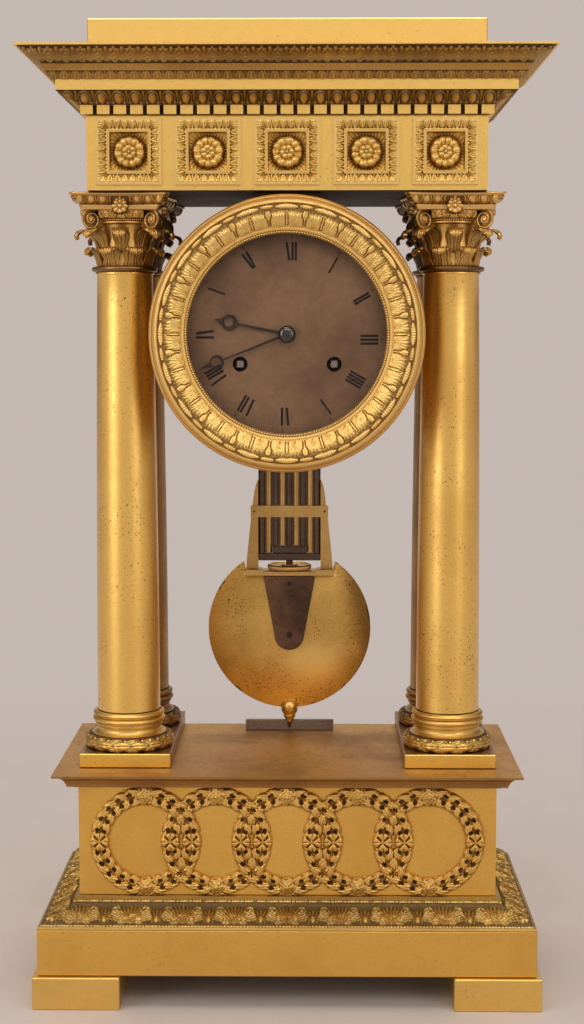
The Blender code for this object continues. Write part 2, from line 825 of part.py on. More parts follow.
def capital_mesh():
    """The capital with the tie rod that is screwed into it, joined once and shared by the four columns."""
    rod_end = SLAB_LOW - NUT_HEIGHT - 2 * OVERRUN - CAPITAL_LOW
    nut_top = SLAB_LOW - SEAT - CAPITAL_LOW
    profile = [(0, CAPITAL_HEIGHT - SINK)]
    profile += [
        (SHAFT_NECK_RADIUS * out, CAPITAL_HEIGHT * up) for out, up in BELL_SHARES
    ]
    profile.insert(1, (SHAFT_NECK_RADIUS * BELL_SHARES[0][0], CAPITAL_HEIGHT - SINK))
    profile += [(TIE_ROD_RADIUS, 0), (TIE_ROD_RADIUS, rod_end), (0, rod_end)]
    bell = turned("capital_bell", profile, None, steps=12)
    bm = bmesh.new()
    base = CAPITAL_HEIGHT - ABACUS_HEIGHT
    sections = [
        [(x, y, base + up * ABACUS_HEIGHT) for x, y in abacus_outline(scale)]
        for scale, up in ABACUS_LEVEL_SHARES
    ]
    add_loft(bm, sections)
    abacus = place("capital_abacus", mesh_from(bm, "capital_abacus"), None)
    bm = bmesh.new()
    scroll_height = CAPITAL_HEIGHT * VOLUTE_HEIGHT_SHARE
    for quarter in range(4):
        turn = math.pi / 4 + math.pi / 2 * quarter
        outline = [(SHAFT_NECK_RADIUS, VOLUTE_RADIUS), (SHAFT_NECK_RADIUS, VOLUTE_RADIUS / 4)]
        for step in range(9):
            angle = math.radians(160 + 290 * step / 8)
            reach = VOLUTE_REACH + VOLUTE_RADIUS * math.cos(angle)
            outline.append((reach, VOLUTE_RADIUS * math.sin(angle)))
        sections = []
        for side in (-VOLUTE_THICKNESS / 2, VOLUTE_THICKNESS / 2):
            section = []
            for reach, rise in outline:
                x = reach * math.cos(turn) - side * math.sin(turn)
                y = reach * math.sin(turn) + side * math.cos(turn)
                section.append((x, y, scroll_height + rise))
            sections.append(section)
        add_loft(bm, sections)
    volutes = place("capital_volutes", mesh_from(bm, "capital_volutes"), None)
    bm = bmesh.new()
    for i in range(LEAF_COUNT):
        angle = 2 * math.pi * (i + 1 / 2) / LEAF_COUNT
        add_loft(bm, leaf_sections(LEAF_THICKNESS, LOWER_LEAF_HEIGHT, LOWER_LEAF_REACH, angle, LEAF_WIDTH))
    lower = place("capital_lower_leaves", mesh_from(bm, "capital_lower_leaves"), None)
    bm = bmesh.new()
    for i in range(LEAF_COUNT):
        angle = 2 * math.pi * i / LEAF_COUNT
        height = UPPER_LEAF_HEIGHT - UPPER_LEAF_FOOT
        add_loft(bm, leaf_sections(UPPER_LEAF_FOOT, height, UPPER_LEAF_REACH, angle, LEAF_WIDTH))
    upper = place("capital_upper_leaves", mesh_from(bm, "capital_upper_leaves"), None)
    bm = bmesh.new()
    flower_height = CAPITAL_HEIGHT - ABACUS_HEIGHT
    for quarter in range(4):
        turn = math.pi / 2 * quarter
        outward = Vector((math.cos(turn), math.sin(turn), 0))
        foot = outward * SHAFT_NECK_RADIUS
        tip = outward * (ABACUS_HALF_WIDTH * (1 - ABACUS_HOLLOW_SHARE) + FLOWER_RELIEF)
        foot.z = flower_height
        tip.z = flower_height
        add_rod(bm, foot, tip, FLOWER_RADIUS, 6, end_radius=FLOWER_RADIUS / 2)
    flowers = place("capital_flowers", mesh_from(bm, "capital_flowers"), None)
    bm = bmesh.new()
    add_rod(bm, (0, 0, nut_top - NUT_HEIGHT), (0, 0, nut_top), NUT_RADIUS, 6)
    nut = place("tie_nut", mesh_from(bm, "tie_nut"), None)
    for other in (abacus, volutes, lower, upper, flowers, nut):
        join(bell, other)
    whole = as_mesh(bell)
    mesh = whole.data
    bpy.data.objects.remove(whole)
    round_shading(mesh)
    return mesh


def build_columns():
    base_profile = [(BASE_RADIUS * out, BASE_HEIGHT * up) for out, up in BASE_SHARES]
    base_profile += [(TIE_ROD_HOLE, 0), (TIE_ROD_HOLE, BASE_HEIGHT)]
    cylinder_height = SHAFT_HEIGHT - ASTRAGAL_HEIGHT
    shaft_profile = [
        (SHAFT_NECK_RADIUS, SHAFT_HEIGHT),
        (ASTRAGAL_RADIUS - ASTRAGAL_HEIGHT / 4, SHAFT_HEIGHT),
        (ASTRAGAL_RADIUS, SHAFT_HEIGHT - ASTRAGAL_HEIGHT / 2),
        (ASTRAGAL_RADIUS - ASTRAGAL_HEIGHT / 4, cylinder_height),
    ]
    taper = SHAFT_FOOT_RADIUS - SHAFT_NECK_RADIUS
    for up in (1.0, 0.67, 0.33, 0.0):
        swell = taper * ENTASIS_SHARE * math.sin(math.pi * up)
        shaft_profile.append((SHAFT_FOOT_RADIUS - taper * up + swell, cylinder_height * up))
    shaft_profile += [(SHAFT_BORE, 0), (SHAFT_BORE, SHAFT_HEIGHT)]
    capital = capital_mesh()
    for row, y in (("front", COLUMN_FRONT_Y), ("rear", COLUMN_REAR_Y)):
        for side, sign in (("left", -1), ("right", 1)):
            x = sign * COLUMN_X
            place_name = f"{row}_{side}"
            turned(f"column_base_{place_name}", base_profile, GILT, (x, y, COLUMN_LOW), steps=16)
            turned(f"column_shaft_{place_name}", shaft_profile, GILT, (x, y, SHAFT_LOW), steps=16)
            place(f"column_capital_{place_name}", capital.copy(), GILT, (x, y, CAPITAL_LOW))


def build_entablature():
    frieze = moulded_block(
        "frieze_box",
        FRIEZE_HALF_WIDTH,
        TOP_SETBACK,
        FRIEZE_LOW,
        FRIEZE_HEIGHT,
        0,
        ((0, 0), (0, 1)),
        GILT,
    )
    build_coffers(frieze)
    build_cornice()
    attic_front = TOP_SETBACK - ATTIC_HALF_WIDTH
    attic = box(
        "attic_slab",
        (-ATTIC_HALF_WIDTH, attic_front, ATTIC_LOW),
        (ATTIC_HALF_WIDTH, BACK_Y, ATTIC_LOW + ATTIC_HEIGHT),
        GILT,
    )
    bevelled(attic, EDGE_ROUND)


def build_coffers(frieze):
    """Five square dishes let into the front of the frieze, each with a domed rosette."""
    middle = FRIEZE_LOW + FRIEZE_HEIGHT * COFFER_CENTRE_SHARE
    opening = COFFER_HALF_WIDTH * COFFER_OPENING_SHARE
    fillet = COFFER_HALF_WIDTH * COFFER_FILLET_SHARE
    dish_back = FRIEZE_FRONT_Y + COFFER_DEPTH
    floor = dish_back - COFFER_FLOOR_THICKNESS
    face = FRIEZE_FRONT_Y - SEAT
    proud = FRIEZE_FRONT_Y - COFFER_PROUD
    steps = (
        (COFFER_POCKET_HALF, dish_back),
        (COFFER_POCKET_HALF, face),
        (COFFER_HALF_WIDTH, face),
        (COFFER_HALF_WIDTH, (face + proud) / 2),
        ((COFFER_HALF_WIDTH + fillet) / 2, proud),
        (fillet, face - SEAT),
        ((fillet + opening) / 2, (face + proud) / 2),
        (opening, face - SEAT),
        (opening, floor),
    )
    pocket = COFFER_POCKET_HALF + SEAT
    for index in range(COFFER_COUNT):
        x = (index - (COFFER_COUNT - 1) / 2) * COFFER_PITCH
        cutter = box(
            f"coffer_pocket_{index}",
            (x - pocket, FRIEZE_FRONT_Y - OVERRUN, middle - pocket),
            (x + pocket, dish_back + SEAT, middle + pocket),
        )
        cut(frieze, cutter)
        sections = [
            [
                (x - half, y, middle - half),
                (x + half, y, middle - half),
                (x + half, y, middle + half),
                (x - half, y, middle + half),
            ]
            for half, y in steps
        ]
        dish = loft(f"coffer_{index + 1}", sections, GILT)
        bm = bmesh.new()
        layers = []
        for size, up in ((1.0, 0.0), (1.0, 0.40), (0.55, 1.0)):
            rim = lobed(ROSETTE_RADIUS * size, ROSETTE_PETALS, 0.16, 2)
            y = floor + SINK - up * (ROSETTE_HEIGHT + SINK)
            layers.append([(x + u, y, middle + v) for u, v in rim])
        add_loft(bm, layers)
        join(dish, place(f"rosette_{index}", mesh_from(bm, "rosette"), None))


def build_cornice():
    cornice = moulded_block(
        "cornice",
        FRIEZE_HALF_WIDTH,
        TOP_SETBACK,
        CORNICE_LOW,
        CORNICE_HEIGHT,
        CORNICE_REACH,
        CORNICE_SHARES,
        GILT,
    )
    low = CORNICE_LOW + CORNICE_HEIGHT * DENTIL_LOW_SHARE
    high = CORNICE_LOW + CORNICE_HEIGHT * DENTIL_TOP_SHARE
    out = FRIEZE_HALF_WIDTH + DENTIL_REACH
    front = TOP_SETBACK - out
    root = SINK + DENTIL_REACH
    bm = bmesh.new()
    pitch = (2 * out - DENTIL_WIDTH) / DENTIL_INTERVALS
    for i in range(1, DENTIL_INTERVALS):
        x = pitch * i - out + DENTIL_WIDTH / 2
        half = DENTIL_WIDTH / 2
        add_box(bm, (x - half, front, low), (x + half, front + root, high))
    side_pitch = (BACK_Y - SINK - front - DENTIL_WIDTH) / DENTIL_SIDE_INTERVALS
    for sign in (-1, 1):
        edges = sorted((sign * out, sign * (out - DENTIL_WIDTH)))
        add_box(bm, (edges[0], front, low), (edges[1], front + DENTIL_WIDTH, high))
        edges = sorted((sign * out, sign * (out - root)))
        for i in range(1, DENTIL_SIDE_INTERVALS + 1):
            y = front + side_pitch * i
            add_box(bm, (edges[0], y, low), (edges[1], y + DENTIL_WIDTH, high))
    join(cornice, place("dentils", mesh_from(bm, "dentils"), None))


def build_drum():
    """A tube with a front flange for the dial, hung from the soffit by a saddle."""
    tube_length = DRUM_BACK_Y - DRUM_FRONT_Y
    inner = DRUM_RADIUS - DRUM_WALL
    profile = [
        (inner, 0),
        (FLANGE_RADIUS, 0),
        (FLANGE_RADIUS, -FLANGE_THICKNESS),
        (DRUM_RADIUS, -FLANGE_THICKNESS),
        (DRUM_RADIUS, -tube_length),
        (inner, -tube_length),
    ]
    drum = turned(
        "drum_case", profile, BRASS, (0, DRUM_FRONT_Y, DIAL_HEIGHT), True, steps=40
    )
    underside = FRIEZE_LOW - SEAT
    bm = bmesh.new()
    add_box(
        bm,
        (-SADDLE_HALF_WIDTH, SADDLE_FRONT_Y, DIAL_HEIGHT + inner),
        (SADDLE_HALF_WIDTH, SADDLE_BACK_Y, underside),
    )
    saddle = place("saddle_block", mesh_from(bm, "saddle_block"), None)
    bore = turned(
        "saddle_bore",
        [
            (0, OVERRUN),
            (DRUM_RADIUS - DRUM_WALL / 2, OVERRUN),
            (DRUM_RADIUS - DRUM_WALL / 2, -tube_length),
            (0, -tube_length),
        ],
        None,
        (0, DRUM_FRONT_Y, DIAL_HEIGHT),
        True,
        steps=40,
    )
    cut(saddle, bore)
    join(drum, saddle)
    bm = bmesh.new()
    knuckle_reach = KNUCKLE_LENGTH * 3 / 2
    for sign in (-1, 1):
        start = (HINGE_X, HINGE_Y, DIAL_HEIGHT + sign * (KNUCKLE_LENGTH / 2 + SEAT))
        end = (HINGE_X, HINGE_Y, DIAL_HEIGHT + sign * knuckle_reach)
        add_rod(bm, start, end, KNUCKLE_RADIUS, 12)
    knuckles = place("drum_knuckles", mesh_from(bm, "drum_knuckles"), None)
    bm = bmesh.new()
    low_end = (HINGE_X, HINGE_Y, DIAL_HEIGHT - knuckle_reach + SINK)
    high_end = (HINGE_X, HINGE_Y, DIAL_HEIGHT + knuckle_reach - SINK)
    add_rod(bm, low_end, high_end, HINGE_PIN_RADIUS, 12)
    pin = place("hinge_pin", mesh_from(bm, "hinge_pin"), None)
    relief = turned(
        "knuckle_relief",
        [
            (0, KNUCKLE_LENGTH / 2 + SEAT),
            (KNUCKLE_RADIUS + RUNNING, KNUCKLE_LENGTH / 2 + SEAT),
            (KNUCKLE_RADIUS + RUNNING, -KNUCKLE_LENGTH / 2 - SEAT),
            (0, -KNUCKLE_LENGTH / 2 - SEAT),
        ],
        None,
        (HINGE_X, HINGE_Y, DIAL_HEIGHT),
        steps=16,
    )
    cut(drum, relief)
    join(drum, knuckles)
    join(drum, pin)


def build_bezel():
    """The turned ring with its leaf band, a knuckle behind its left edge, and the flat glass."""
    width = BEZEL_RADIUS - BEZEL_INNER_RADIUS
    profile = [
        (BEZEL_INNER_RADIUS + across * width, forward * BEZEL_DEPTH)
        for across, forward in BEZEL_SHARES
    ]
    bezel = turned(
        "bezel", profile[::-1], GILT, (0, BEZEL_BACK_Y, DIAL_HEIGHT), True, steps=36
    )
    centre = (HINGE_X, HINGE_Y, DIAL_HEIGHT)
    half = KNUCKLE_LENGTH / 2
    bm = bmesh.new()
    for sign in (-1, 1):
        start = (HINGE_X, HINGE_Y, DIAL_HEIGHT + sign * half)
        end = (HINGE_X, HINGE_Y, DIAL_HEIGHT + sign * (KNUCKLE_LENGTH * 3 / 2 + SEAT))
        add_rod(bm, start, end, KNUCKLE_RADIUS + RUNNING, 16)
    relief = place("bezel_relief", mesh_from(bm, "bezel_relief"), None)
    knuckle = turned(
        "bezel_knuckle",
        [
            (0, half),
            (KNUCKLE_RADIUS, half),
            (KNUCKLE_RADIUS, -half),
            (0, -half),
        ],
        None,
        centre,
        steps=16,
    )
    pin_bore = turned(
        "pin_bore",
        [
            (0, half + OVERRUN),
            (HINGE_PIN_RADIUS + RUNNING, half + OVERRUN),
            (HINGE_PIN_RADIUS + RUNNING, -half - OVERRUN),
            (0, -half - OVERRUN),
        ],
        None,
        centre,
        steps=12,
    )
    cut(bezel, relief)
    join(bezel, knuckle)
    cut(bezel, pin_bore)
    seat = BEZEL_SHARES[4][1] * BEZEL_DEPTH
    glass_radius = BEZEL_INNER_RADIUS + BEZEL_SHARES[4][0] * width - SEAT
    glass_front = seat - SEAT
    turned(
        "bezel_glass",
        [
            (0, glass_front),
            (glass_radius, glass_front),
            (glass_radius, glass_front - GLASS_THICKNESS),
            (0, glass_front - GLASS_THICKNESS),
        ],
        GLAZING,
        (0, BEZEL_BACK_Y, DIAL_HEIGHT),
        True,
        steps=40,
    )


def build_dial():
    outline = circle(DIAL_RADIUS, 40)
    holes = [circle(PIPE_HOLE, 16)]
    for sign in (-1, 1):
        holes.append(circle(WINDING_HOLE, 16, (sign * WINDING_X, -WINDING_DROP)))
    dial = plate("dial", [outline, *holes], DIAL_THICKNESS, SILVERED)
    dial.location = (0, DIAL_BACK_Y - DIAL_THICKNESS / 2, DIAL_HEIGHT)
    dial.rotation_euler = (math.radians(90), 0, 0)


def hand_outline(length, ring_reach, ring_radius, hub_radius, stem_width):
    """Half of a hand's outline as (distance, half width), from its hub to its point."""
    half = []
    for step in range(7):
        angle = math.pi - step * math.pi / 7
        half.append((hub_radius * math.cos(angle), hub_radius * math.sin(angle)))
    stem = stem_width / 2
    thin = stem * STEM_TAPER_SHARE
    half.append((math.sqrt(hub_radius**2 - stem**2), stem))
    half.append((ring_reach - math.sqrt(ring_radius**2 - thin**2), thin))
    for step in range(1, 7):
        angle = math.pi - step * math.pi / 7
        half.append((ring_reach + ring_radius * math.cos(angle), ring_radius * math.sin(angle)))
    shoulder = stem
    half.append((ring_reach + math.sqrt(ring_radius**2 - shoulder**2), shoulder))
    half.append((length, thin / 3))
    left = [(-width, reach) for reach, width in half[1:]]
    right = [(width, reach) for reach, width in reversed(half)]
    return left + right


def build_hand(name, sizes, degrees, back_y, bore):
    length, ring_reach, ring_radius, hub_radius, stem_width = sizes
    moon = circle(
        ring_radius * MOON_HOLE_SHARE, 12, (0, ring_reach + ring_radius * MOON_OFFSET_SHARE)
    )
    loops = [hand_outline(*sizes), moon, circle(bore, 12)]
    made = plate(name, loops, HAND_THICKNESS, STEEL)
    turn = Matrix.Rotation(math.radians(degrees), 4, "Y") @ Matrix.Rotation(math.radians(90), 4, "X")
    made.location = (0, back_y - HAND_THICKNESS / 2, DIAL_HEIGHT)
    made.rotation_euler = turn.to_euler()
    return made


def build_hands():
    hour_back = DIAL_FRONT_Y - HOUR_HAND_GAP
    minute_back = DIAL_FRONT_Y - MINUTE_HAND_GAP
    bore = ARBOR_RADIUS + RUNNING
    hour_sizes = (
        HOUR_HAND_LENGTH,
        HOUR_RING_REACH,
        HOUR_RING_RADIUS,
        HOUR_HUB_RADIUS,
        HOUR_STEM_WIDTH,
    )
    collar = bore + PIPE_WALL / 2
    hour = build_hand("hour_hand", hour_sizes, HOUR_HAND_DEGREES, hour_back, collar)
    hour = as_mesh(hour, STEEL)
    pipe_front = HAND_THICKNESS / 4
    pipe_back = FRONT_PLATE_Y - RUNNING - hour_back + HAND_THICKNESS / 2
    pipe = turned(
        "hour_pipe",
        [
            (bore, pipe_front),
            (bore + PIPE_WALL, pipe_front),
            (bore + PIPE_WALL, -pipe_back),
            (bore, -pipe_back),
        ],
        None,
        hour.location,
        True,
        steps=12,
    )
    join(hour, pipe)
    minute_sizes = (
        MINUTE_HAND_LENGTH,
        MINUTE_RING_REACH,
        MINUTE_RING_RADIUS,
        MINUTE_HUB_RADIUS,
        MINUTE_STEM_WIDTH,
    )
    build_hand("minute_hand", minute_sizes, MINUTE_HAND_DEGREES, minute_back, bore)
    cap_back = SEAT - minute_back + HAND_THICKNESS
    dome = [
        (
            CAP_RADIUS * math.sin(math.pi / 2 * step / 5),
            cap_back + CAP_HEIGHT * math.cos(math.pi / 2 * step / 5),
        )
        for step in range(6)
    ]
    arbor_back = -FRONT_PLATE_Y - PLATE_THICKNESS - OVERRUN
    turned(
        "centre_arbor",
        [*dome, (ARBOR_RADIUS, cap_back), (ARBOR_RADIUS, arbor_back), (0, arbor_back)],
        BRIGHT,
        (0, 0, DIAL_HEIGHT),
        True,
        steps=20,
    )


def build_plates():
    """The two movement plates, with the dial feet on one and the pillars and the cock on the other."""
    wind = WIND_ARBOR_RADIUS + RUNNING
    front_holes = [circle(wind, 12, (s * WINDING_X, -WINDING_DROP)) for s in (-1, 1)]
    front_holes.append(circle(ARBOR_RADIUS + RUNNING, 12))
    front = plate(
        "front_plate", [circle(FRONT_PLATE_RADIUS, 32), *front_holes], PLATE_THICKNESS, BRASS
    )
    front.location = (0, FRONT_PLATE_Y + PLATE_THICKNESS / 2, DIAL_HEIGHT)
    front.rotation_euler = (math.radians(90), 0, 0)
    front = as_mesh(front, BRASS)
    bm = bmesh.new()
    for degrees in DIAL_FOOT_DEGREES:
        x = DIAL_FOOT_REACH * math.cos(math.radians(degrees))
        z = DIAL_HEIGHT + DIAL_FOOT_REACH * math.sin(math.radians(degrees))
        start = (x, DIAL_BACK_Y + SEAT, z)
        end = (x, FRONT_PLATE_Y + SINK, z)
        add_rod(bm, start, end, DIAL_FOOT_RADIUS, 8)
    join(front, place("dial_feet", mesh_from(bm, "dial_feet"), None))
    anchor_height = SUSPENSION_HEIGHT - DIAL_HEIGHT
    holes = [circle(wind, 12, (s * WINDING_X, -WINDING_DROP)) for s in (-1, 1)]
    holes.append(circle(ARBOR_RADIUS + RUNNING, 12, (0, anchor_height)))
    back = plate(
        "back_plate", [circle(BACK_PLATE_RADIUS, 32), *holes], PLATE_THICKNESS, BRASS
    )
    back.location = (0, BACK_PLATE_Y - PLATE_THICKNESS / 2, DIAL_HEIGHT)
    back.rotation_euler = (math.radians(90), 0, 0)
    back = as_mesh(back, BRASS)
    bm = bmesh.new()
    for degrees in PILLAR_DEGREES:
        x = PILLAR_REACH * math.cos(math.radians(degrees))
        z = DIAL_HEIGHT + PILLAR_REACH * math.sin(math.radians(degrees))
        start = (x, FRONT_PLATE_Y + PLATE_THICKNESS + SEAT, z)
        end = (x, BACK_PLATE_Y - PLATE_THICKNESS + SINK, z)
        add_rod(bm, start, end, PILLAR_RADIUS, 10)
    stud_back = BACK_PLATE_Y + SEAT + COUNT_WHEEL_THICKNESS + OVERRUN
    count_z = DIAL_HEIGHT + COUNT_WHEEL_RISE
    start = (COUNT_WHEEL_X, BACK_PLATE_Y - SINK, count_z)
    add_rod(bm, start, (COUNT_WHEEL_X, stud_back, count_z), STUD_RADIUS, 10)
    hammer_z = DIAL_HEIGHT - HAMMER_DROP
    start = (HAMMER_X, BACK_PLATE_Y - SINK, hammer_z)
    add_rod(bm, start, (HAMMER_X, BACK_PLATE_Y + BELL_LENGTH, hammer_z), STUD_RADIUS, 10)
    bell_z = DIAL_HEIGHT - BELL_DROP
    bell_crown = BACK_PLATE_Y + BELL_MOUTH_GAP + BELL_LENGTH - BELL_WALL - SEAT
    start = (0, BACK_PLATE_Y - SINK, bell_z)
    add_rod(bm, start, (0, bell_crown, bell_z), STUD_RADIUS * 2, 12)
    join(back, place("pillars", mesh_from(bm, "pillars"), None))
    bm = bmesh.new()
    low = SUSPENSION_HEIGHT - COCK_DROP
    high = SUSPENSION_HEIGHT + COCK_RISE
    outer = COCK_HALF_WIDTH
    rear = COCK_PLATE_BACK_Y - COCK_PLATE_THICKNESS
    add_box(bm, (-outer, BACK_PLATE_Y - SINK, low), (outer, COCK_PLATE_BACK_Y, high))
    cock = place("cock_block", mesh_from(bm, "cock_block"), None)
    gap = outer - COCK_POST_WIDTH
    inside = box(
        "cock_gap",
        (-gap, BACK_PLATE_Y - OVERRUN, low - OVERRUN),
        (gap, rear, high + OVERRUN),
    )
    cut(cock, inside)
    arm_low = SUSPENSION_HEIGHT + COCK_RISE / 2
    arm = box(
        "cock_arm",
        (-STRAP_HALF_WIDTH, rear + SINK, arm_low),
        (STRAP_HALF_WIDTH, PENDULUM_Y + COCK_CLIP_HALF, high),
    )
    clip = box(
        "cock_clip",
        (-STRAP_HALF_WIDTH, PENDULUM_Y - COCK_CLIP_HALF, SUSPENSION_HEIGHT + SEAT),
        (STRAP_HALF_WIDTH, PENDULUM_Y + COCK_CLIP_HALF, arm_low + SINK),
    )
    join(cock, arm)
    join(cock, clip)
    join(back, cock)
    bm = bmesh.new()
    start = (0, rear - OVERRUN, SUSPENSION_HEIGHT)
    end = (0, COCK_PLATE_BACK_Y + OVERRUN, SUSPENSION_HEIGHT)
    add_rod(bm, start, end, ARBOR_RADIUS + RUNNING, 12)
    cut(back, place("arbor_bore", mesh_from(bm, "arbor_bore"), None))


def build_trains():
    """Each train's winding arbor with its square, and the spring barrel with its great wheel."""
    between = FRONT_PLATE_Y + PLATE_THICKNESS
    wheel_front = between + OVERRUN / 2
    wheel_back = wheel_front + GREAT_WHEEL_THICKNESS
    barrel_back = wheel_back + BARREL_LENGTH
    for train, sign in (("going", -1), ("strike", 1)):
        x = sign * WINDING_X
        bm = bmesh.new()
        add_rod(
            bm,
            (x, FRONT_PLATE_Y - SEAT, WINDING_HEIGHT),
            (x, BACK_PLATE_Y + OVERRUN, WINDING_HEIGHT),
            WIND_ARBOR_RADIUS,
            12,
        )
        arbor = place(f"{train}_winding_arbor", mesh_from(bm, "winding_arbor"), STEEL)
        half = WIND_SQUARE / 2
        square_front = FRONT_PLATE_Y - WIND_SQUARE_LENGTH
        square = box(
            f"{train}_square",
            (x - half, square_front, WINDING_HEIGHT - half),
            (x + half, FRONT_PLATE_Y - 2 * SEAT + SINK, WINDING_HEIGHT + half),
        )
        join(arbor, square)
        hub_hole = WIND_ARBOR_RADIUS + RUNNING
        barrel = turned(
            f"{train}_barrel",
            [
                (hub_hole, -wheel_back + SINK),
                (BARREL_RADIUS, -wheel_back + SINK),
                (BARREL_RADIUS, -barrel_back),
                (BARREL_HUB_RADIUS, -barrel_back),
                (BARREL_HUB_RADIUS, -barrel_back - SEAT),
                (hub_hole, -barrel_back - SEAT),
            ],
            BRASS,
            (x, 0, WINDING_HEIGHT),
            True,
            steps=20,
        )
        rim = toothed(GREAT_WHEEL_RADIUS, GREAT_WHEEL_TEETH, TOOTH_DEPTH)
        wheel = plate(
            f"{train}_great_wheel", [rim, circle(hub_hole, 20)], GREAT_WHEEL_THICKNESS
        )
        wheel.location = (x, (wheel_front + wheel_back) / 2, WINDING_HEIGHT)
        wheel.rotation_euler = (math.radians(90), 0, 0)
        join(barrel, as_mesh(wheel))


def build_strike_work():
    """The count wheel, the bell and the hammer behind the back plate."""
    rim = []
    per_notch = 4
    for i in range(COUNT_WHEEL_NOTCHES * per_notch):
        angle = 2 * math.pi * i / (COUNT_WHEEL_NOTCHES * per_notch)
        reach = COUNT_WHEEL_RADIUS - (TOOTH_DEPTH if i % per_notch == 0 else 0)
        rim.append((reach * math.cos(angle), reach * math.sin(angle)))
    wheel = plate(
        "count_wheel", [rim, circle(STUD_RADIUS + RUNNING, 12)], COUNT_WHEEL_THICKNESS, STEEL
    )
    wheel_y = BACK_PLATE_Y + SEAT + COUNT_WHEEL_THICKNESS / 2
    wheel.location = (COUNT_WHEEL_X, wheel_y, DIAL_HEIGHT + COUNT_WHEEL_RISE)
    wheel.rotation_euler = (math.radians(90), 0, 0)
    mouth = BACK_PLATE_Y + BELL_MOUTH_GAP
    outer, inner = [], []
    for step in range(7):
        angle = math.pi / 2 * step / 6
        reach = math.sin(angle)
        depth = math.cos(angle)
        outer.append((BELL_RADIUS * reach, -mouth - BELL_LENGTH * depth))
        inner.append(
            ((BELL_RADIUS - BELL_WALL) * reach, -mouth - (BELL_LENGTH - BELL_WALL) * depth)
        )
    turned(
        "bell",
        inner + outer[::-1],
        BRASS,
        (0, 0, DIAL_HEIGHT - BELL_DROP),
        True,
        steps=20,
    )
    head_x = BELL_RADIUS + HAMMER_GAP + HAMMER_HEAD_RADIUS
    head_z = DIAL_HEIGHT - BELL_DROP
    pivot_z = DIAL_HEIGHT - HAMMER_DROP
    strike_y = mouth + HAMMER_HEAD_RADIUS
    bm = bmesh.new()
    add_rod(
        bm,
        (HAMMER_X, strike_y, pivot_z),
        (head_x, strike_y, head_z),
        HAMMER_WIRE_RADIUS,
        8,
    )
    hammer = turned(
        "hammer",
        [
            (STUD_RADIUS + RUNNING, -BACK_PLATE_Y - SEAT),
            (HAMMER_BOSS_RADIUS, -BACK_PLATE_Y - SEAT),
            (HAMMER_BOSS_RADIUS, -BACK_PLATE_Y - BELL_LENGTH + SEAT),
            (STUD_RADIUS + RUNNING, -BACK_PLATE_Y - BELL_LENGTH + SEAT),
        ],
        STEEL,
        (HAMMER_X, 0, pivot_z),
        True,
        steps=12,
    )
    wire = place("hammer_wire", mesh_from(bm, "hammer_wire"), None)
    clear = turned(
        "hammer_bore",
        [
            (0, -BACK_PLATE_Y + OVERRUN),
            (STUD_RADIUS + RUNNING, -BACK_PLATE_Y + OVERRUN),
            (STUD_RADIUS + RUNNING, -BACK_PLATE_Y - BELL_LENGTH - OVERRUN),
            (0, -BACK_PLATE_Y - BELL_LENGTH - OVERRUN),
        ],
        None,
        (HAMMER_X, 0, pivot_z),
        True,
        steps=12,
    )
    head = turned(
        "hammer_head",
        [
            (
                HAMMER_HEAD_RADIUS * math.sin(math.pi * step / 6),
                HAMMER_HEAD_RADIUS * math.cos(math.pi * step / 6),
            )
            if 0 < step < 6
            else (0, HAMMER_HEAD_RADIUS * math.cos(math.pi * step / 6))
            for step in range(7)
        ],
        None,
        (head_x, strike_y, head_z),
        steps=10,
    )
    join(hammer, wire)
    join(hammer, head)
    cut(hammer, clear)


def build_crutch():
    """The anchor on its arbor, with the crutch whose pin drives the pendulum."""
    anchor_y = BACK_PLATE_Y - PLATE_THICKNESS - OVERRUN - ANCHOR_THICKNESS
    arm_y = COCK_PLATE_BACK_Y + SEAT
    bm = bmesh.new()
    add_rod(
        bm,
        (0, anchor_y - OVERRUN, SUSPENSION_HEIGHT),
        (0, arm_y + CRUTCH_THICKNESS, SUSPENSION_HEIGHT),
        ARBOR_RADIUS,
        12,
    )
    crutch = place("anchor_crutch", mesh_from(bm, "anchor_crutch"), STEEL)
    half = CRUTCH_WIDTH / 2
    arm = box(
        "crutch_arm",
        (-half, arm_y, SUSPENSION_HEIGHT - CRUTCH_LENGTH - half),
        (half, arm_y + CRUTCH_THICKNESS, SUSPENSION_HEIGHT + half),
    )
    bm = bmesh.new()
    pin_z = SUSPENSION_HEIGHT - CRUTCH_LENGTH
    pin_start = (0, arm_y + CRUTCH_THICKNESS - SINK, pin_z)
    pin_end = (0, PENDULUM_Y + STRAP_THICKNESS, pin_z)
    add_rod(bm, pin_start, pin_end, CRUTCH_PIN_RADIUS, 10)
    pin = place("crutch_pin", mesh_from(bm, "crutch_pin"), None)
    outer = [math.radians(20 + 140 * step / 8) for step in range(9)]
    thin = ANCHOR_SPAN - ANCHOR_BAND
    arch = [(ANCHOR_SPAN * math.cos(a), ANCHOR_SPAN * math.sin(a)) for a in outer]
    arch += [(thin * math.cos(a), thin * math.sin(a)) for a in reversed(outer)]
    anchor = plate("anchor_arms", [arch], ANCHOR_THICKNESS)
    middle = SUSPENSION_HEIGHT - ANCHOR_SPAN + ANCHOR_BAND / 2
    anchor.location = (0, anchor_y + ANCHOR_THICKNESS / 2, middle)
    anchor.rotation_euler = (math.radians(90), 0, 0)
    join(crutch, arm)
    join(crutch, pin)
    join(crutch, as_mesh(anchor))


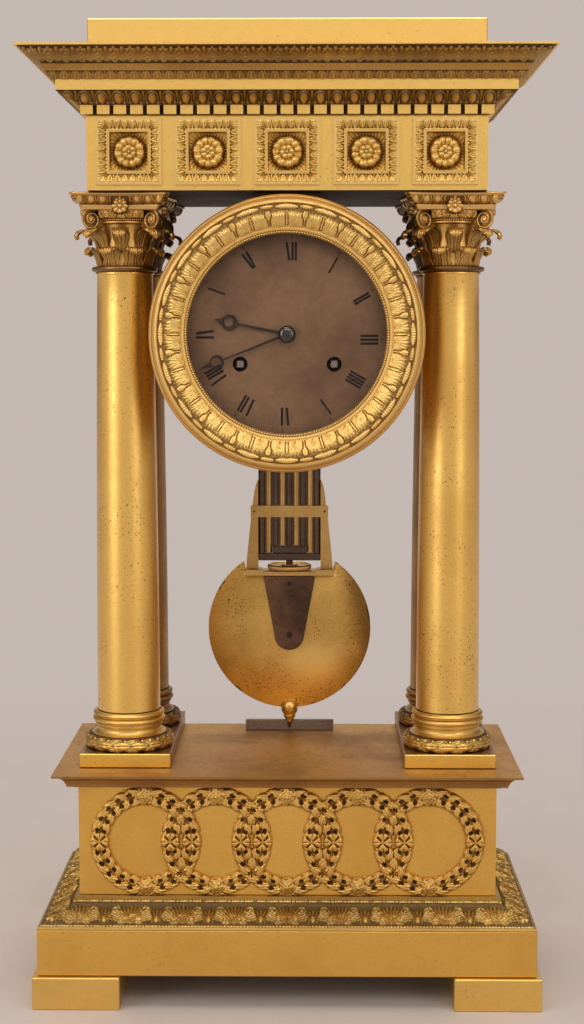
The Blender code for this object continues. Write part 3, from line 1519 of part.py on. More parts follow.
def rod_frame(name, rods, rod_low, rod_high, bars, finish, bores=()):
    """Upright rods and the cross bars that join them. A bar is (low, high, half width)."""
    bm = bmesh.new()
    for index in rods:
        x = index * ROD_PITCH
        add_rod(bm, (x, PENDULUM_Y, rod_low), (x, PENDULUM_Y, rod_high), ROD_RADIUS, 10)
    uprights = place(f"{name}_rods", mesh_from(bm, name), None)
    depth = BAR_DEPTH / 2
    first = bars[0]
    frame = box(
        name,
        (-first[2], PENDULUM_Y - depth, first[0]),
        (first[2], PENDULUM_Y + depth, first[1]),
        finish,
    )
    join(frame, uprights)
    for index, (low, high, half) in enumerate(bars[1:]):
        other = box(
            f"{name}_bar_{index}",
            (-half, PENDULUM_Y - depth, low),
            (half, PENDULUM_Y + depth, high),
        )
        join(frame, other)
    for bore in bores:
        cut(frame, bore)
    return frame


def build_gridiron():
    """Nine rods in five nested frames: steel lengthens downward and brass lifts the bob back up."""
    bm = bmesh.new()
    add_rod(
        bm,
        (0, PENDULUM_Y, YOKE_BOTTOM - OVERRUN),
        (0, PENDULUM_Y, GRID_BOTTOM + BAR_HEIGHT * 2 + OVERRUN),
        ROD_RADIUS + RUNNING,
        12,
    )
    low_bore = place("centre_rod_bore", mesh_from(bm, "centre_rod_bore"), None)
    outer_low = (GRID_BOTTOM, GRID_BOTTOM + BAR_HEIGHT, GRID_HALF_WIDTH)
    outer_high = (GRID_TOP - BAR_HEIGHT, GRID_TOP, GRID_HALF_WIDTH)
    outer_steel = rod_frame(
        "gridiron_steel_outer",
        (-4, 4),
        GRID_BOTTOM + BAR_HEIGHT - SINK,
        GRID_TOP - BAR_HEIGHT + SINK,
        (outer_low, outer_high),
        STEEL,
        (low_bore,),
    )
    join(outer_steel, suspension_strap())
    second_low = outer_high[0] - GRID_STEP - BAR_HEIGHT
    second_bar = (second_low, second_low + BAR_HEIGHT, 3 * ROD_PITCH + BAR_END)
    inner_low = outer_low[1] + SEAT
    rod_frame(
        "gridiron_brass_outer",
        (-3, 3),
        inner_low,
        second_low + SINK,
        (second_bar,),
        BRASS,
    )
    inner_bar = (inner_low, inner_low + BAR_HEIGHT, 2 * ROD_PITCH + BAR_END)
    rod_frame(
        "gridiron_steel_inner",
        (-2, 2),
        inner_bar[1] - SINK,
        second_low - SEAT,
        (inner_bar,),
        STEEL,
        (low_bore,),
    )
    third_low = second_low - GRID_STEP - BAR_HEIGHT
    third_bar = (third_low, third_low + BAR_HEIGHT, ROD_PITCH + BAR_END)
    bm = bmesh.new()
    add_rod(
        bm,
        (0, PENDULUM_Y, third_low - OVERRUN),
        (0, PENDULUM_Y, third_low + BAR_HEIGHT + OVERRUN),
        ROD_RADIUS + RUNNING,
        12,
    )
    high_bore = place("centre_rod_top_bore", mesh_from(bm, "centre_rod_top_bore"), None)
    rod_frame(
        "gridiron_brass_inner",
        (-1, 1),
        inner_bar[1] + SEAT,
        third_low + SINK,
        (third_bar,),
        BRASS,
        (high_bore,),
    )
    head_low = third_bar[1] + SEAT
    turned(
        "gridiron_centre_rod",
        [
            (0, head_low + ROD_RADIUS),
            (ROD_RADIUS + SINK, head_low + ROD_RADIUS),
            (ROD_RADIUS + SINK, head_low),
            (ROD_RADIUS, head_low),
            (ROD_RADIUS, YOKE_BOTTOM + BOB_TRAVEL + SINK),
            (0, YOKE_BOTTOM + BOB_TRAVEL + SINK),
        ],
        STEEL,
        (0, PENDULUM_Y, 0),
        steps=12,
    )


def suspension_strap():
    """The steel strap that the pendulum hangs by, with the slot that the crutch pin works in."""
    slot_half = CRUTCH_PIN_RADIUS + RUNNING
    pin_z = -CRUTCH_LENGTH
    slot = [
        (-slot_half, pin_z - slot_half),
        (slot_half, pin_z - slot_half),
        (slot_half, pin_z + slot_half),
        (-slot_half, pin_z + slot_half),
    ]
    foot = GRID_TOP - SINK - SUSPENSION_HEIGHT
    half = STRAP_HALF_WIDTH
    outline = [(-half, foot), (half, foot), (half, -SINK), (-half, -SINK)]
    strap = plate("suspension_strap", [outline, slot], STRAP_THICKNESS)
    strap.location = (0, PENDULUM_Y, SUSPENSION_HEIGHT)
    strap.rotation_euler = (math.radians(90), 0, 0)
    return as_mesh(strap)


def build_cheeks():
    """Two tapered cheeks that slide on the outer rods, tied by a strip across the front."""
    inner = 4 * ROD_PITCH + ROD_RADIUS + CHEEK_INNER_GAP
    foot = YOKE_TOP + SEAT
    outline = [(inner, foot)]
    outline += [
        (inner + out * CHEEK_FOOT_WIDTH, foot + up * CHEEK_HEIGHT) for out, up in CHEEK_SHARES
    ]
    outline.append((inner, foot + CHEEK_HEIGHT))
    cheeks = []
    for sign in (-1, 1):
        depth = CHEEK_THICKNESS / 2
        sections = [
            [(sign * x, PENDULUM_Y + face, z) for x, z in outline] for face in (-depth, depth)
        ]
        name = "cheek_frame" if sign < 0 else "cheek_right"
        cheeks.append(loft(name, sections, BRASS if sign < 0 else None))
    tie_z = foot + TIE_HEIGHT_SHARE * CHEEK_HEIGHT
    tie_back = PENDULUM_Y - ROD_RADIUS - RUNNING
    tie = box(
        "tie_strip",
        (-TIE_HALF_LENGTH, tie_back - TIE_THICKNESS, tie_z - TIE_WIDTH / 2),
        (TIE_HALF_LENGTH, tie_back, tie_z + TIE_WIDTH / 2),
    )
    join(tie, cheeks[1])
    join(cheeks[0], tie)


def build_bob():
    front = PENDULUM_Y - YOKE_FRONT
    back = PENDULUM_Y + YOKE_BACK
    half = YOKE_HALF_WIDTH
    chamfer = YOKE_CHAMFER
    outline = [
        (-half, front + chamfer),
        (-TONGUE_TOP_HALF - chamfer, front),
        (TONGUE_TOP_HALF + chamfer, front),
        (half, front + chamfer),
        (half, back),
        (-half, back),
    ]
    yoke = loft(
        "pendulum_yoke",
        [[(x, y, z) for x, y in outline] for z in (YOKE_BOTTOM, YOKE_TOP)],
        BRASS,
    )
    bore = turned(
        "yoke_bore",
        [
            (0, YOKE_TOP + OVERRUN),
            (ROD_RADIUS + RUNNING, YOKE_TOP + OVERRUN),
            (ROD_RADIUS + RUNNING, YOKE_BOTTOM - OVERRUN),
            (0, YOKE_BOTTOM - OVERRUN),
        ],
        None,
        (0, PENDULUM_Y, 0),
        steps=12,
    )
    cut(yoke, bore)
    nut_low = YOKE_TOP + SEAT
    knurled = toothed(NUT_DISC_RADIUS, NUT_KNURLS, NUT_KNURL_DEPTH)
    nut = plate(
        "rating_nut", [knurled, circle(ROD_RADIUS + RUNNING, 12)], NUT_DISC_THICKNESS, BRASS
    )
    nut.location = (0, PENDULUM_Y, nut_low + NUT_DISC_THICKNESS / 2)
    tongue_back = PENDULUM_Y - BOB_HALF_THICKNESS - SEAT
    tongue_top = YOKE_BOTTOM - SEAT
    foot_z = -TONGUE_LENGTH + TONGUE_FOOT_RADIUS
    shape = [(TONGUE_TOP_HALF, 0), (-TONGUE_TOP_HALF, 0)]
    for step in range(11):
        angle = math.pi + math.pi * step / 10
        shape.append((TONGUE_FOOT_RADIUS * math.cos(angle), foot_z + TONGUE_FOOT_RADIUS * math.sin(angle)))
    hole = circle(TONGUE_HOLE, 10, (0, -TONGUE_HOLE_DROP))
    tongue = plate("pendulum_tongue", [shape, hole], TONGUE_THICKNESS, STEEL)
    tongue.location = (0, tongue_back - TONGUE_THICKNESS / 2, tongue_top)
    tongue.rotation_euler = (math.radians(90), 0, 0)
    crown = BOB_HALF_THICKNESS - BOB_EDGE_HALF
    steps = (0.0, 0.35, 0.65, 0.85, 1.0)
    front_half = [
        (BOB_RADIUS * share, BOB_EDGE_HALF + crown * (1 - share**2)) for share in steps
    ]
    rear_half = [(radius, -height) for radius, height in reversed(front_half)]
    bob = turned(
        "pendulum_bob",
        front_half + rear_half,
        BRASS,
        (0, PENDULUM_Y, BOB_HEIGHT),
        True,
        steps=40,
    )
    reach = BOB_RADIUS + OVERRUN
    depth = BOB_HALF_THICKNESS + OVERRUN
    flat = box(
        "bob_flat",
        (-reach, PENDULUM_Y - depth, YOKE_BOTTOM + BOB_CUT_ABOVE_YOKE),
        (reach, PENDULUM_Y + depth, BOB_HEIGHT + reach),
    )
    notch_half = YOKE_HALF_WIDTH + SEAT
    notch = box(
        "bob_notch",
        (-notch_half, PENDULUM_Y - depth, YOKE_BOTTOM - SEAT),
        (notch_half, PENDULUM_Y + depth, BOB_HEIGHT + reach),
    )
    cut(bob, flat)
    cut(bob, notch)
    ball_z = BOB_HEIGHT - BOB_RADIUS + BALL_RISE
    socket = turned("ball_socket", ball_profile(BALL_RADIUS + SEAT), None, (0, PENDULUM_Y, ball_z), steps=20)
    cut(bob, socket)
    neck = BALL_RADIUS * math.sin(math.pi * 5 / 6)
    neck_z = BALL_RADIUS * math.cos(math.pi * 5 / 6)
    cone_end = -BALL_RADIUS * 7 / 4
    needle = [
        (neck, neck_z - BALL_RADIUS / 6),
        (BALL_RADIUS / 5, cone_end),
        (BALL_RADIUS / 9, cone_end - BALL_RADIUS / 9),
        (0, NEEDLE_TIP - ball_z),
    ]
    turned(
        "pendulum_finial",
        ball_profile(BALL_RADIUS)[:-1] + needle,
        BRASS,
        (0, PENDULUM_Y, ball_z),
        steps=16,
    )
    slab_top = SLAB_LOW + SLAB_HEIGHT + SEAT
    bar_front = PENDULUM_Y + BEAT_BAR_GAP
    bar = box(
        "beat_bar",
        (-BEAT_BAR_HALF_LENGTH, bar_front, slab_top),
        (BEAT_BAR_HALF_LENGTH, bar_front + BEAT_BAR_THICKNESS, slab_top + BEAT_BAR_HEIGHT),
        STEEL,
    )
    bevelled(bar, EDGE_ROUND)


def ball_profile(radius):
    """Half a circle from the top of the axis to its foot."""
    points = [(0, radius)]
    for step in range(1, 6):
        angle = math.pi * step / 6
        points.append((radius * math.sin(angle), radius * math.cos(angle)))
    points.append((0, -radius))
    return points


def shade_round_parts():
    for made in PARTS.objects:
        if made.type == "MESH" and len(made.data.polygons):
            round_shading(made.data)


start_scene()
build_base()
build_wreaths()
build_columns()
build_entablature()
build_drum()
build_bezel()
build_dial()
build_hands()
build_plates()
build_trains()
build_strike_work()
build_crutch()
build_gridiron()
build_cheeks()
build_bob()
shade_round_parts()
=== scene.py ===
# The clock stands on a pale grey table that runs up into a pale grey wall. A large soft lamp lights it
# from the front left and a weaker one from the front right, with a third overhead. The camera stands
# a metre away, a little above the middle of the clock.
import json
import math

import bpy
import numpy as np
from mathutils import Matrix, Vector

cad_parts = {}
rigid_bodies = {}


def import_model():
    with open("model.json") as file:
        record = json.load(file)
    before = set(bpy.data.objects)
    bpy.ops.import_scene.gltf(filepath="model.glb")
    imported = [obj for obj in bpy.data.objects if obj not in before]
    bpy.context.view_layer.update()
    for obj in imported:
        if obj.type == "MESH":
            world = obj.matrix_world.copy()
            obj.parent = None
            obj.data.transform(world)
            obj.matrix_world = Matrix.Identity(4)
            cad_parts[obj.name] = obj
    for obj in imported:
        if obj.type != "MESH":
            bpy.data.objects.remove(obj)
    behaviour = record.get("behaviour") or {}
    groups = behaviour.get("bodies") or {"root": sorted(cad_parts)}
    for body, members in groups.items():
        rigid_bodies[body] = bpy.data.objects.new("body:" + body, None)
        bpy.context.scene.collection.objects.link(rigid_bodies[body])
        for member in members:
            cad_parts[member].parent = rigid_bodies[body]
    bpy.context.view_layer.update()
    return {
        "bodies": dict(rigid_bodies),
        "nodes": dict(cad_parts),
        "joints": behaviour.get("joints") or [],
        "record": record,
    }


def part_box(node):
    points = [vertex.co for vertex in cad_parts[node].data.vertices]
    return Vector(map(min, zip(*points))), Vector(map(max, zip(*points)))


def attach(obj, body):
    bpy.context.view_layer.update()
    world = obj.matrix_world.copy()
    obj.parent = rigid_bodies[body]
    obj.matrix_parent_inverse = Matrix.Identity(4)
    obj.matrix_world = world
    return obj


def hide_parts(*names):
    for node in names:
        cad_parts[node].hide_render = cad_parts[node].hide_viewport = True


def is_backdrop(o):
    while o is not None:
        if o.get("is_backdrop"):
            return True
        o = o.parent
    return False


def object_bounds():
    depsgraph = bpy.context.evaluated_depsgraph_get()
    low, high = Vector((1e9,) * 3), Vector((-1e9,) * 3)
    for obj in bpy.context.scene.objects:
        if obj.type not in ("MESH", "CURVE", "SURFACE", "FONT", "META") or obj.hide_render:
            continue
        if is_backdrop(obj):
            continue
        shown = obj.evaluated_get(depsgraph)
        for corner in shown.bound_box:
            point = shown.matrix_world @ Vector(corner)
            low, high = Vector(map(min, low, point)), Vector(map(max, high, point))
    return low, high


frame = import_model()
scene = bpy.context.scene
scene.view_settings.view_transform = "Standard"

camera = bpy.data.objects.new("camera", bpy.data.cameras.new("camera"))
camera.data.lens = 60.8
camera.location = (0.0143, -1.0425, 0.3905)
camera.rotation_euler = (math.radians(84.22), 0, math.radians(0.66))
scene.collection.objects.link(camera)
scene.camera = camera


def soft_lamp(name, spot, width, height, level, colour):
    """A rectangular studio lamp that faces the middle of the clock; level is how bright its face looks."""
    lamp = bpy.data.lights.new(name, "AREA")
    lamp.shape = "RECTANGLE"
    lamp.size = width
    lamp.size_y = height
    lamp.color = colour
    lamp.energy = level * math.pi * width * height
    holder = bpy.data.objects.new(name, lamp)
    holder.location = spot
    aim = Vector((0, 0, 0.3)) - Vector(spot)
    holder.rotation_euler = aim.to_track_quat("-Z", "Y").to_euler()
    scene.collection.objects.link(holder)


soft_lamp("lamp_front_left", (-1.25, -1.15, 0.75), 0.75, 1.3, 2.2, (1.0, 0.97, 0.92))
soft_lamp("lamp_front_right", (1.25, -1.5, 0.85), 0.7, 1.2, 1.9, (1.0, 0.97, 0.93))
soft_lamp("lamp_over_camera", (0.1, -1.7, 1.7), 1.6, 0.9, 2.0, (1.0, 0.97, 0.93))
soft_lamp("lamp_overhead", (0, 0.0, 1.9), 1.5, 1.5, 2.6, (1.0, 0.98, 0.95))


def wire(tree, kind, sockets=None, **settings):
    """Adds a shader node and fills its sockets, named or numbered, with values or other nodes' outputs."""
    node = tree.nodes.new("ShaderNode" + kind)
    for setting, value in settings.items():
        setattr(node, setting, value)
    for key, value in (sockets or {}).items():
        if isinstance(value, bpy.types.NodeSocket):
            tree.links.new(value, node.inputs[key])
        else:
            node.inputs[key].default_value = value
    return node


def mixed(tree, share, first, second, blend="MIX"):
    """The colour that lies at this share of the way from the first colour to the second."""
    node = wire(tree, "Mix", {0: share, 6: first, 7: second}, data_type="RGBA", blend_type=blend)
    return node.outputs[2]


def ramp(tree, value, low, high, to_low=0.0, to_high=1.0):
    """Spreads a value between low and high over another range, and holds it at the ends."""
    sockets = {"Value": value, "From Min": low, "From Max": high, "To Min": to_low, "To Max": to_high}
    return wire(tree, "MapRange", sockets, interpolation_type="SMOOTHSTEP").outputs[0]


def sums(tree, operation, first, second):
    return wire(tree, "Math", {0: first, 1: second}, operation=operation).outputs[0]


BACKDROP = (0.555, 0.480, 0.445, 1)
world = bpy.data.worlds.new("studio")
scene.world = world
world.use_nodes = True
world.node_tree.nodes.clear()
paths = wire(world.node_tree, "LightPath").outputs
seen = sums(world.node_tree, "MAXIMUM", paths["Is Camera Ray"], paths["Is Glossy Ray"])
seen = sums(world.node_tree, "MAXIMUM", seen, paths["Is Transmission Ray"])
room = wire(world.node_tree, "Background", {"Color": (0.50, 0.47, 0.44, 1), "Strength": 0.8})
toward = wire(world.node_tree, "SeparateXYZ", {0: wire(world.node_tree, "TexCoord").outputs["Generated"]}).outputs
aside = ramp(world.node_tree, sums(world.node_tree, "ABSOLUTE", toward["X"], 0.0), 0.30, 0.50, 0.0, 0.85)
aside = sums(world.node_tree, "MULTIPLY", aside, ramp(world.node_tree, toward["Y"], 0.12, 0.45))
aside = sums(world.node_tree, "MULTIPLY", aside, sums(world.node_tree, "SUBTRACT", 1.0, paths["Is Camera Ray"]))
shade = mixed(world.node_tree, aside, BACKDROP, (0.10, 0.075, 0.06, 1))
wall = wire(world.node_tree, "Background", {"Color": shade, "Strength": 1.0})
both = wire(world.node_tree, "MixShader", {0: seen, 1: room.outputs[0], 2: wall.outputs[0]})
wire(world.node_tree, "OutputWorld", {0: both.outputs[0]})

table_mesh = bpy.data.meshes.new("table")
table_mesh.from_pydata([(-9, -9, 0), (9, -9, 0), (9, 9, 0), (-9, 9, 0)], [], [(0, 1, 2, 3)])
table = bpy.data.objects.new("table", table_mesh)
scene.collection.objects.link(table)
paper = bpy.data.materials.new("pale_paper")
paper.use_nodes = True
tree = paper.node_tree
tree.nodes.clear()
distance = wire(tree, "VectorMath", {0: wire(tree, "TexCoord").outputs["Object"]}, operation="LENGTH")
fade = ramp(tree, distance.outputs["Value"], 0.30, 0.95)
fibre = wire(tree, "TexNoise", {"Scale": 260.0, "Detail": 4.0}).outputs[0]
tint = mixed(tree, ramp(tree, fibre, 0.3, 0.7), (0.61, 0.53, 0.485, 1), (0.63, 0.55, 0.505, 1))
near = wire(tree, "BsdfDiffuse", {"Color": tint})
far = wire(tree, "Emission", {"Color": BACKDROP, "Strength": 1.0})
both = wire(tree, "MixShader", {0: fade, 1: near.outputs[0], 2: far.outputs[0]})
wire(tree, "OutputMaterial", {0: both.outputs[0]})
table_mesh.materials.append(paper)
table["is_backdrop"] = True

# The feet, the base block and the dado are sand-cast bronze plates, brazed into hollow boxes, filed
# flat and mercury-gilt. The gilding is matt and warm, with cloudy tarnish, faint scratches along the
# faces and small dark specks where the mercury left pores.


def effect(name, given, results):
    """A group of shader nodes that several finishes share, with its named inputs and outputs."""
    tree = bpy.data.node_groups.new(name, "ShaderNodeTree")
    for label, kind, value in given:
        socket = tree.interface.new_socket(name=label, in_out="INPUT", socket_type="NodeSocket" + kind)
        socket.default_value = value
    for label, kind in results:
        tree.interface.new_socket(name=label, in_out="OUTPUT", socket_type="NodeSocket" + kind)
    return tree, tree.nodes.new("NodeGroupInput").outputs, tree.nodes.new("NodeGroupOutput").inputs


def gilding_wear():
    """Cloudy tarnish, pin specks and a fine grain, the same on every metal of the clock."""
    tree, given, result = effect(
        "gilding_wear",
        [
            ("Bright", "Color", (0.8, 0.5, 0.13, 1)),
            ("Worn", "Color", (0.5, 0.27, 0.06, 1)),
            ("Speck Colour", "Color", (0.05, 0.024, 0.008, 1)),
            ("Clouds", "Float", 0.5),
            ("Specks", "Float", 0.5),
            ("Speck Scale", "Float", 520.0),
            ("Speck Share", "Float", 0.0),
            ("Smoothness", "Float", 0.34),
        ],
        [("Color", "Color"), ("Roughness", "Float"), ("Height", "Float")],
    )
    spot = wire(tree, "ObjectInfo").outputs["Random"]
    shift = sums(tree, "MULTIPLY", spot, 7.0)
    where = wire(tree, "VectorMath", {0: wire(tree, "TexCoord").outputs["Object"], 1: shift}).outputs[0]

    def noise(scale, detail, rough=0.55):
        return wire(
            tree, "TexNoise", {"Vector": where, "Scale": scale, "Detail": detail, "Roughness": rough}
        ).outputs[0]

    clouds = sums(tree, "MULTIPLY", ramp(tree, noise(19.0, 6.0, 0.62), 0.40, 0.68), given["Clouds"])
    fine = noise(310.0, 3.0)
    grain = noise(2400.0, 2.0)
    drawn = wire(tree, "VectorMath", {0: where, 1: (9.0, 9.0, 700.0)}, operation="MULTIPLY").outputs[0]
    scratch = wire(tree, "TexNoise", {"Vector": drawn, "Scale": 1.0, "Detail": 3.0}).outputs[0]
    patches = ramp(tree, noise(34.0, 3.0), 0.42, 0.62, 0.25, 1.0)
    pores = sums(tree, "ADD", noise(given["Speck Scale"], 2.0, 0.5), given["Speck Share"])
    pores = ramp(tree, pores, 0.655, 0.715)
    pores = sums(tree, "MULTIPLY", sums(tree, "MULTIPLY", pores, patches), given["Specks"])
    colour = mixed(tree, clouds, given["Bright"], given["Worn"])
    colour = mixed(tree, ramp(tree, fine, 0.35, 0.75, 0.0, 0.18), colour, given["Worn"])
    colour = mixed(tree, ramp(tree, noise(1150.0, 3.0, 0.7), 0.36, 0.64, 0.0, 0.32), colour, given["Worn"])
    colour = mixed(tree, ramp(tree, scratch, 0.62, 0.75, 0.0, 0.25), colour, given["Bright"])
    tree.links.new(mixed(tree, pores, colour, given["Speck Colour"]), result["Color"])
    rough = sums(tree, "ADD", given["Smoothness"], sums(tree, "MULTIPLY", clouds, 0.10))
    rough = sums(tree, "ADD", rough, ramp(tree, fine, 0.3, 0.7, -0.03, 0.04))
    tree.links.new(sums(tree, "ADD", rough, sums(tree, "MULTIPLY", pores, 0.25)), result["Roughness"])
    height = sums(tree, "ADD", sums(tree, "MULTIPLY", grain, 0.22), sums(tree, "MULTIPLY", fine, 0.5))
    height = sums(tree, "SUBTRACT", height, sums(tree, "MULTIPLY", pores, 0.8))
    tree.links.new(height, result["Height"])
    return tree


def relief_patina_and_painted_light():
    """Dark patina and painted shade in the low relief tones, rubbed bright spots and painted highlights in the high
    ones.
    """
    tree, given, result = effect(
        "relief_patina_and_painted_light",
        [
            ("Ground", "Color", (0.6, 0.35, 0.1, 1)),
            ("Hollow", "Color", (0.1, 0.045, 0.012, 1)),
            ("Crest", "Color", (0.95, 0.68, 0.28, 1)),
            ("Depth", "Float", 0.8),
        ],
        [("Color", "Color"), ("Dirt And Shade", "Float")],
    )
    relief = wire(tree, "Attribute", attribute_name="relief").outputs["Fac"]
    jitter = wire(tree, "TexNoise", {"Scale": 900.0, "Detail": 3.0}).outputs[0]
    relief = sums(tree, "ADD", relief, ramp(tree, jitter, 0.3, 0.7, -0.10, 0.10))
    dirt_and_shade = sums(tree, "MULTIPLY", ramp(tree, relief, 0.52, 0.05), given["Depth"])
    colour = mixed(tree, dirt_and_shade, given["Ground"], given["Hollow"])
    tree.links.new(mixed(tree, ramp(tree, relief, 0.62, 1.0, 0.0, 0.7), colour, given["Crest"]), result["Color"])
    tree.links.new(dirt_and_shade, result["Dirt And Shade"])
    return tree


WEAR = gilding_wear()
PATINA_AND_PAINTED_LIGHT = relief_patina_and_painted_light()


def metal_finish(name, bright, worn, smooth, clouds=0.5, specks=0.5, grain=520.0, coat=0.25, hollow=None,
                 crest=None, depth=0.85, bump=0.12, speck_colour=(0.05, 0.024, 0.008), share=0.0):
    """A metal with the shared wear on it, and with patina and painted shade in its relief where hollow gives its
    colour.
    """
    finish = bpy.data.materials.new(name)
    finish.use_nodes = True
    tree = finish.node_tree
    skin = tree.nodes["Principled BSDF"]
    wear = wire(tree, "Group", node_tree=WEAR)
    values = {"Bright": (*bright, 1), "Worn": (*worn, 1), "Speck Colour": (*speck_colour, 1), "Clouds": clouds,
              "Specks": specks, "Speck Scale": grain, "Speck Share": share, "Smoothness": smooth}
    for label, value in values.items():
        wear.inputs[label].default_value = value
    colour = wear.outputs["Color"]
    rough = wear.outputs["Roughness"]
    if hollow:
        patina_and_painted_light = wire(tree, "Group", node_tree=PATINA_AND_PAINTED_LIGHT)
        tree.links.new(colour, patina_and_painted_light.inputs["Ground"])
        patina_and_painted_light.inputs["Hollow"].default_value = (*hollow, 1)
        patina_and_painted_light.inputs["Crest"].default_value = (*(crest or bright), 1)
        patina_and_painted_light.inputs["Depth"].default_value = depth
        colour = patina_and_painted_light.outputs["Color"]
        rough = sums(tree, "ADD", rough, sums(tree, "MULTIPLY", patina_and_painted_light.outputs["Dirt And Shade"], 0.25))
    tree.links.new(colour, skin.inputs["Base Color"])
    tree.links.new(rough, skin.inputs["Roughness"])
    bumps = wire(tree, "Bump", {"Height": wear.outputs["Height"], "Strength": bump, "Distance": 0.001})
    tree.links.new(bumps.outputs[0], skin.inputs["Normal"])
    skin.inputs["Metallic"].default_value = 1.0
    skin.inputs["Coat Weight"].default_value = coat
    skin.inputs["Coat Roughness"].default_value = 0.3
    return finish


def dress(finish, *names):
    """Gives CAD nodes, whose shape is right as it is, their finish."""
    for name in names:
        piece = frame["nodes"][name]
        if not piece.material_slots:
            piece.data.materials.append(finish)
        for slot in piece.material_slots:
            slot.material = finish


matt_gilding = metal_finish("matt_gilding", (0.86, 0.525, 0.115), (0.68, 0.38, 0.07), 0.42, 0.6, 0.35, 420.0)
# The feet get a paler copy of the matt gilding: painted light, which the lamps don't give them low down.
lit_pale_gilding = metal_finish("lit_pale_gilding", (0.90, 0.61, 0.17), (0.72, 0.45, 0.12), 0.42, 0.6, 0.35, 420.0)
dress(lit_pale_gilding, "foot_front_left", "foot_front_right", "foot_rear_left", "foot_rear_right")
dress(matt_gilding, "base_block", "dado")

# Above the block runs a cast and chased moulding: a reel line at its top, then palmettes and lotus
# flowers in turn on a hollow slope, and a line of small leaves at the foot. It is mitred at the
# corners, and its hollows have kept a brown patina.


def span(node):
    """A CAD node's lowest and highest corners in millimetres."""
    low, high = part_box(node)
    return np.array(low) * 1000, np.array(high) * 1000


def weave(grid, relief=None, wrap=False):
    """A skin over a grid of points, rows by columns, as points, faces and relief."""
    rows, columns = grid.shape[:2]
    number = np.arange(rows * columns).reshape(rows, columns)
    if wrap:
        number = np.hstack([number, number[:, :1]])
    corners = (number[:-1, :-1], number[:-1, 1:], number[1:, 1:], number[1:, :-1])
    faces = np.stack(corners, axis=-1).reshape(-1, 4)
    height = np.full(rows * columns, 0.7) if relief is None else np.asarray(relief, float).reshape(-1)
    return grid.reshape(-1, 3), [faces], height


def gather(shapes):
    """Several skins as one."""
    points, faces, relief = [], [], []
    start = 0
    for shape in shapes:
        points.append(shape[0])
        faces += [block + start for block in shape[1]]
        relief.append(shape[2])
        start += len(shape[0])
    return np.vstack(points), faces, np.concatenate(relief)


def cast(name, shape, finish, body="case", nodes=(), crease=38, spots=None):
    """Makes the piece from its skin, once or at several spots, and hangs it on its body."""
    points, faces, relief = shape
    mesh = bpy.data.meshes.new(name)
    mesh.from_pydata((points * 0.001).tolist(), [], [face for block in faces for face in block.tolist()])
    mesh.attributes.new("relief", "FLOAT", "POINT").data.foreach_set("value", relief.astype(np.float32))
    mesh.shade_smooth()
    mesh.set_sharp_from_angle(angle=math.radians(crease))
    mesh.materials.append(finish)
    for label, matrix, replaced, *own in spots or [(name, Matrix(), nodes)]:
        piece = bpy.data.objects.new(label, mesh)
        piece.matrix_world = matrix
        if own:
            piece.material_slots[0].link = "OBJECT"
            piece.material_slots[0].material = own[0]
        scene.collection.objects.link(piece)
        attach(piece, body)
        if replaced:
            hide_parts(*replaced)


def moulding(half, front, back, low, bands, step=0.5, inner=None):
    """Runs a profile round the left side, the front and the right side, and closes it flat behind.

    A band is (points, relief): its points are (out, up) pairs, and its relief is None or gives the height
    in millimetres from the distance along the run and the distance across the band. inner gives the half
    width, front and back of the hollow inside, if it has one.
    """
    skins = []
    for path, relief in bands:
        path = np.array(path, float)
        lengths = np.concatenate([[0], np.cumsum(np.hypot(*np.diff(path, axis=0).T))])
        across = lengths
        if relief:
            across = np.linspace(0, lengths[-1], max(4, int(lengths[-1] / step) + 1))
            path = np.stack([np.interp(across, lengths, path[:, i]) for i in (0, 1)], axis=1)
        slope = np.gradient(path, axis=0)
        slope /= np.hypot(slope[:, :1], slope[:, 1:])
        out, up = path[:, :1], path[:, 1:]
        reach = (front - out[-1, 0], half + out.max())
        for side in range(4):
            run = 2 * reach[1] if side in (1, 3) else back - front + out.max()
            count = int(run / step) + 1 if relief and side < 3 else 2
            share = np.linspace(0, 1, count)[None, :]
            if side in (1, 3):
                along = (2 * share - 1) * (half + out)
                edge = half + out - np.abs(along)
            else:
                along = (front - out) + (back - front + out) * share
                edge = np.minimum(along - (front - out), (back - along) * 2)
            height = np.zeros(along.shape)
            tone = np.full(along.shape, 0.7)
            if relief and side < 3:
                distance = along if side == 1 else along - front
                height = relief(distance, np.broadcast_to(across[:, None], along.shape))
                tone = height / max(height.max(), 1e-6)
                height = height * np.clip(edge / 1.2, 0, 1)
            far = out + slope[:, 1:] * height
            high = low + up - slope[:, :1] * height
            if side == 1:
                grid = np.stack([(2 * share - 1) * (half + far), front - far, high], axis=-1)
            elif side == 3:
                grid = np.stack([(1 - 2 * share) * (half + far), back + 0 * far + 0 * share, high + 0 * share], axis=-1)
            else:
                depth = (front - far) + (back - front + far) * share
                wide = (half + far) + 0 * share
                grid = np.stack([wide if side == 2 else -wide, depth, high + 0 * share], axis=-1)
                if side == 0:
                    grid = grid[:, ::-1]
                    tone = tone[:, ::-1]
            skins.append(weave(grid, tone))
    rings = []
    for out, up in (bands[-1][0][-1], bands[0][0][0]):
        box = (half + out, front - out, back)
        rings.append([(side * box[0], box[y], low + up) for side, y in ((-1, 1), (1, 1), (1, 2), (-1, 2))])
    if inner:
        for up in (rings[0][0][2], rings[1][0][2]):
            rings.insert(-1, [(side * inner[0], inner[y], up) for side, y in ((-1, 1), (1, 1), (1, 2), (-1, 2))])
        skins.append(weave(np.array(rings), wrap=True))
    else:
        for ring, turn in zip(rings, (1, -1)):
            skins.append((np.array(ring[::turn]), [np.array([[0, 1, 2, 3]])], np.full(4, 0.7)))
    return gather(skins)


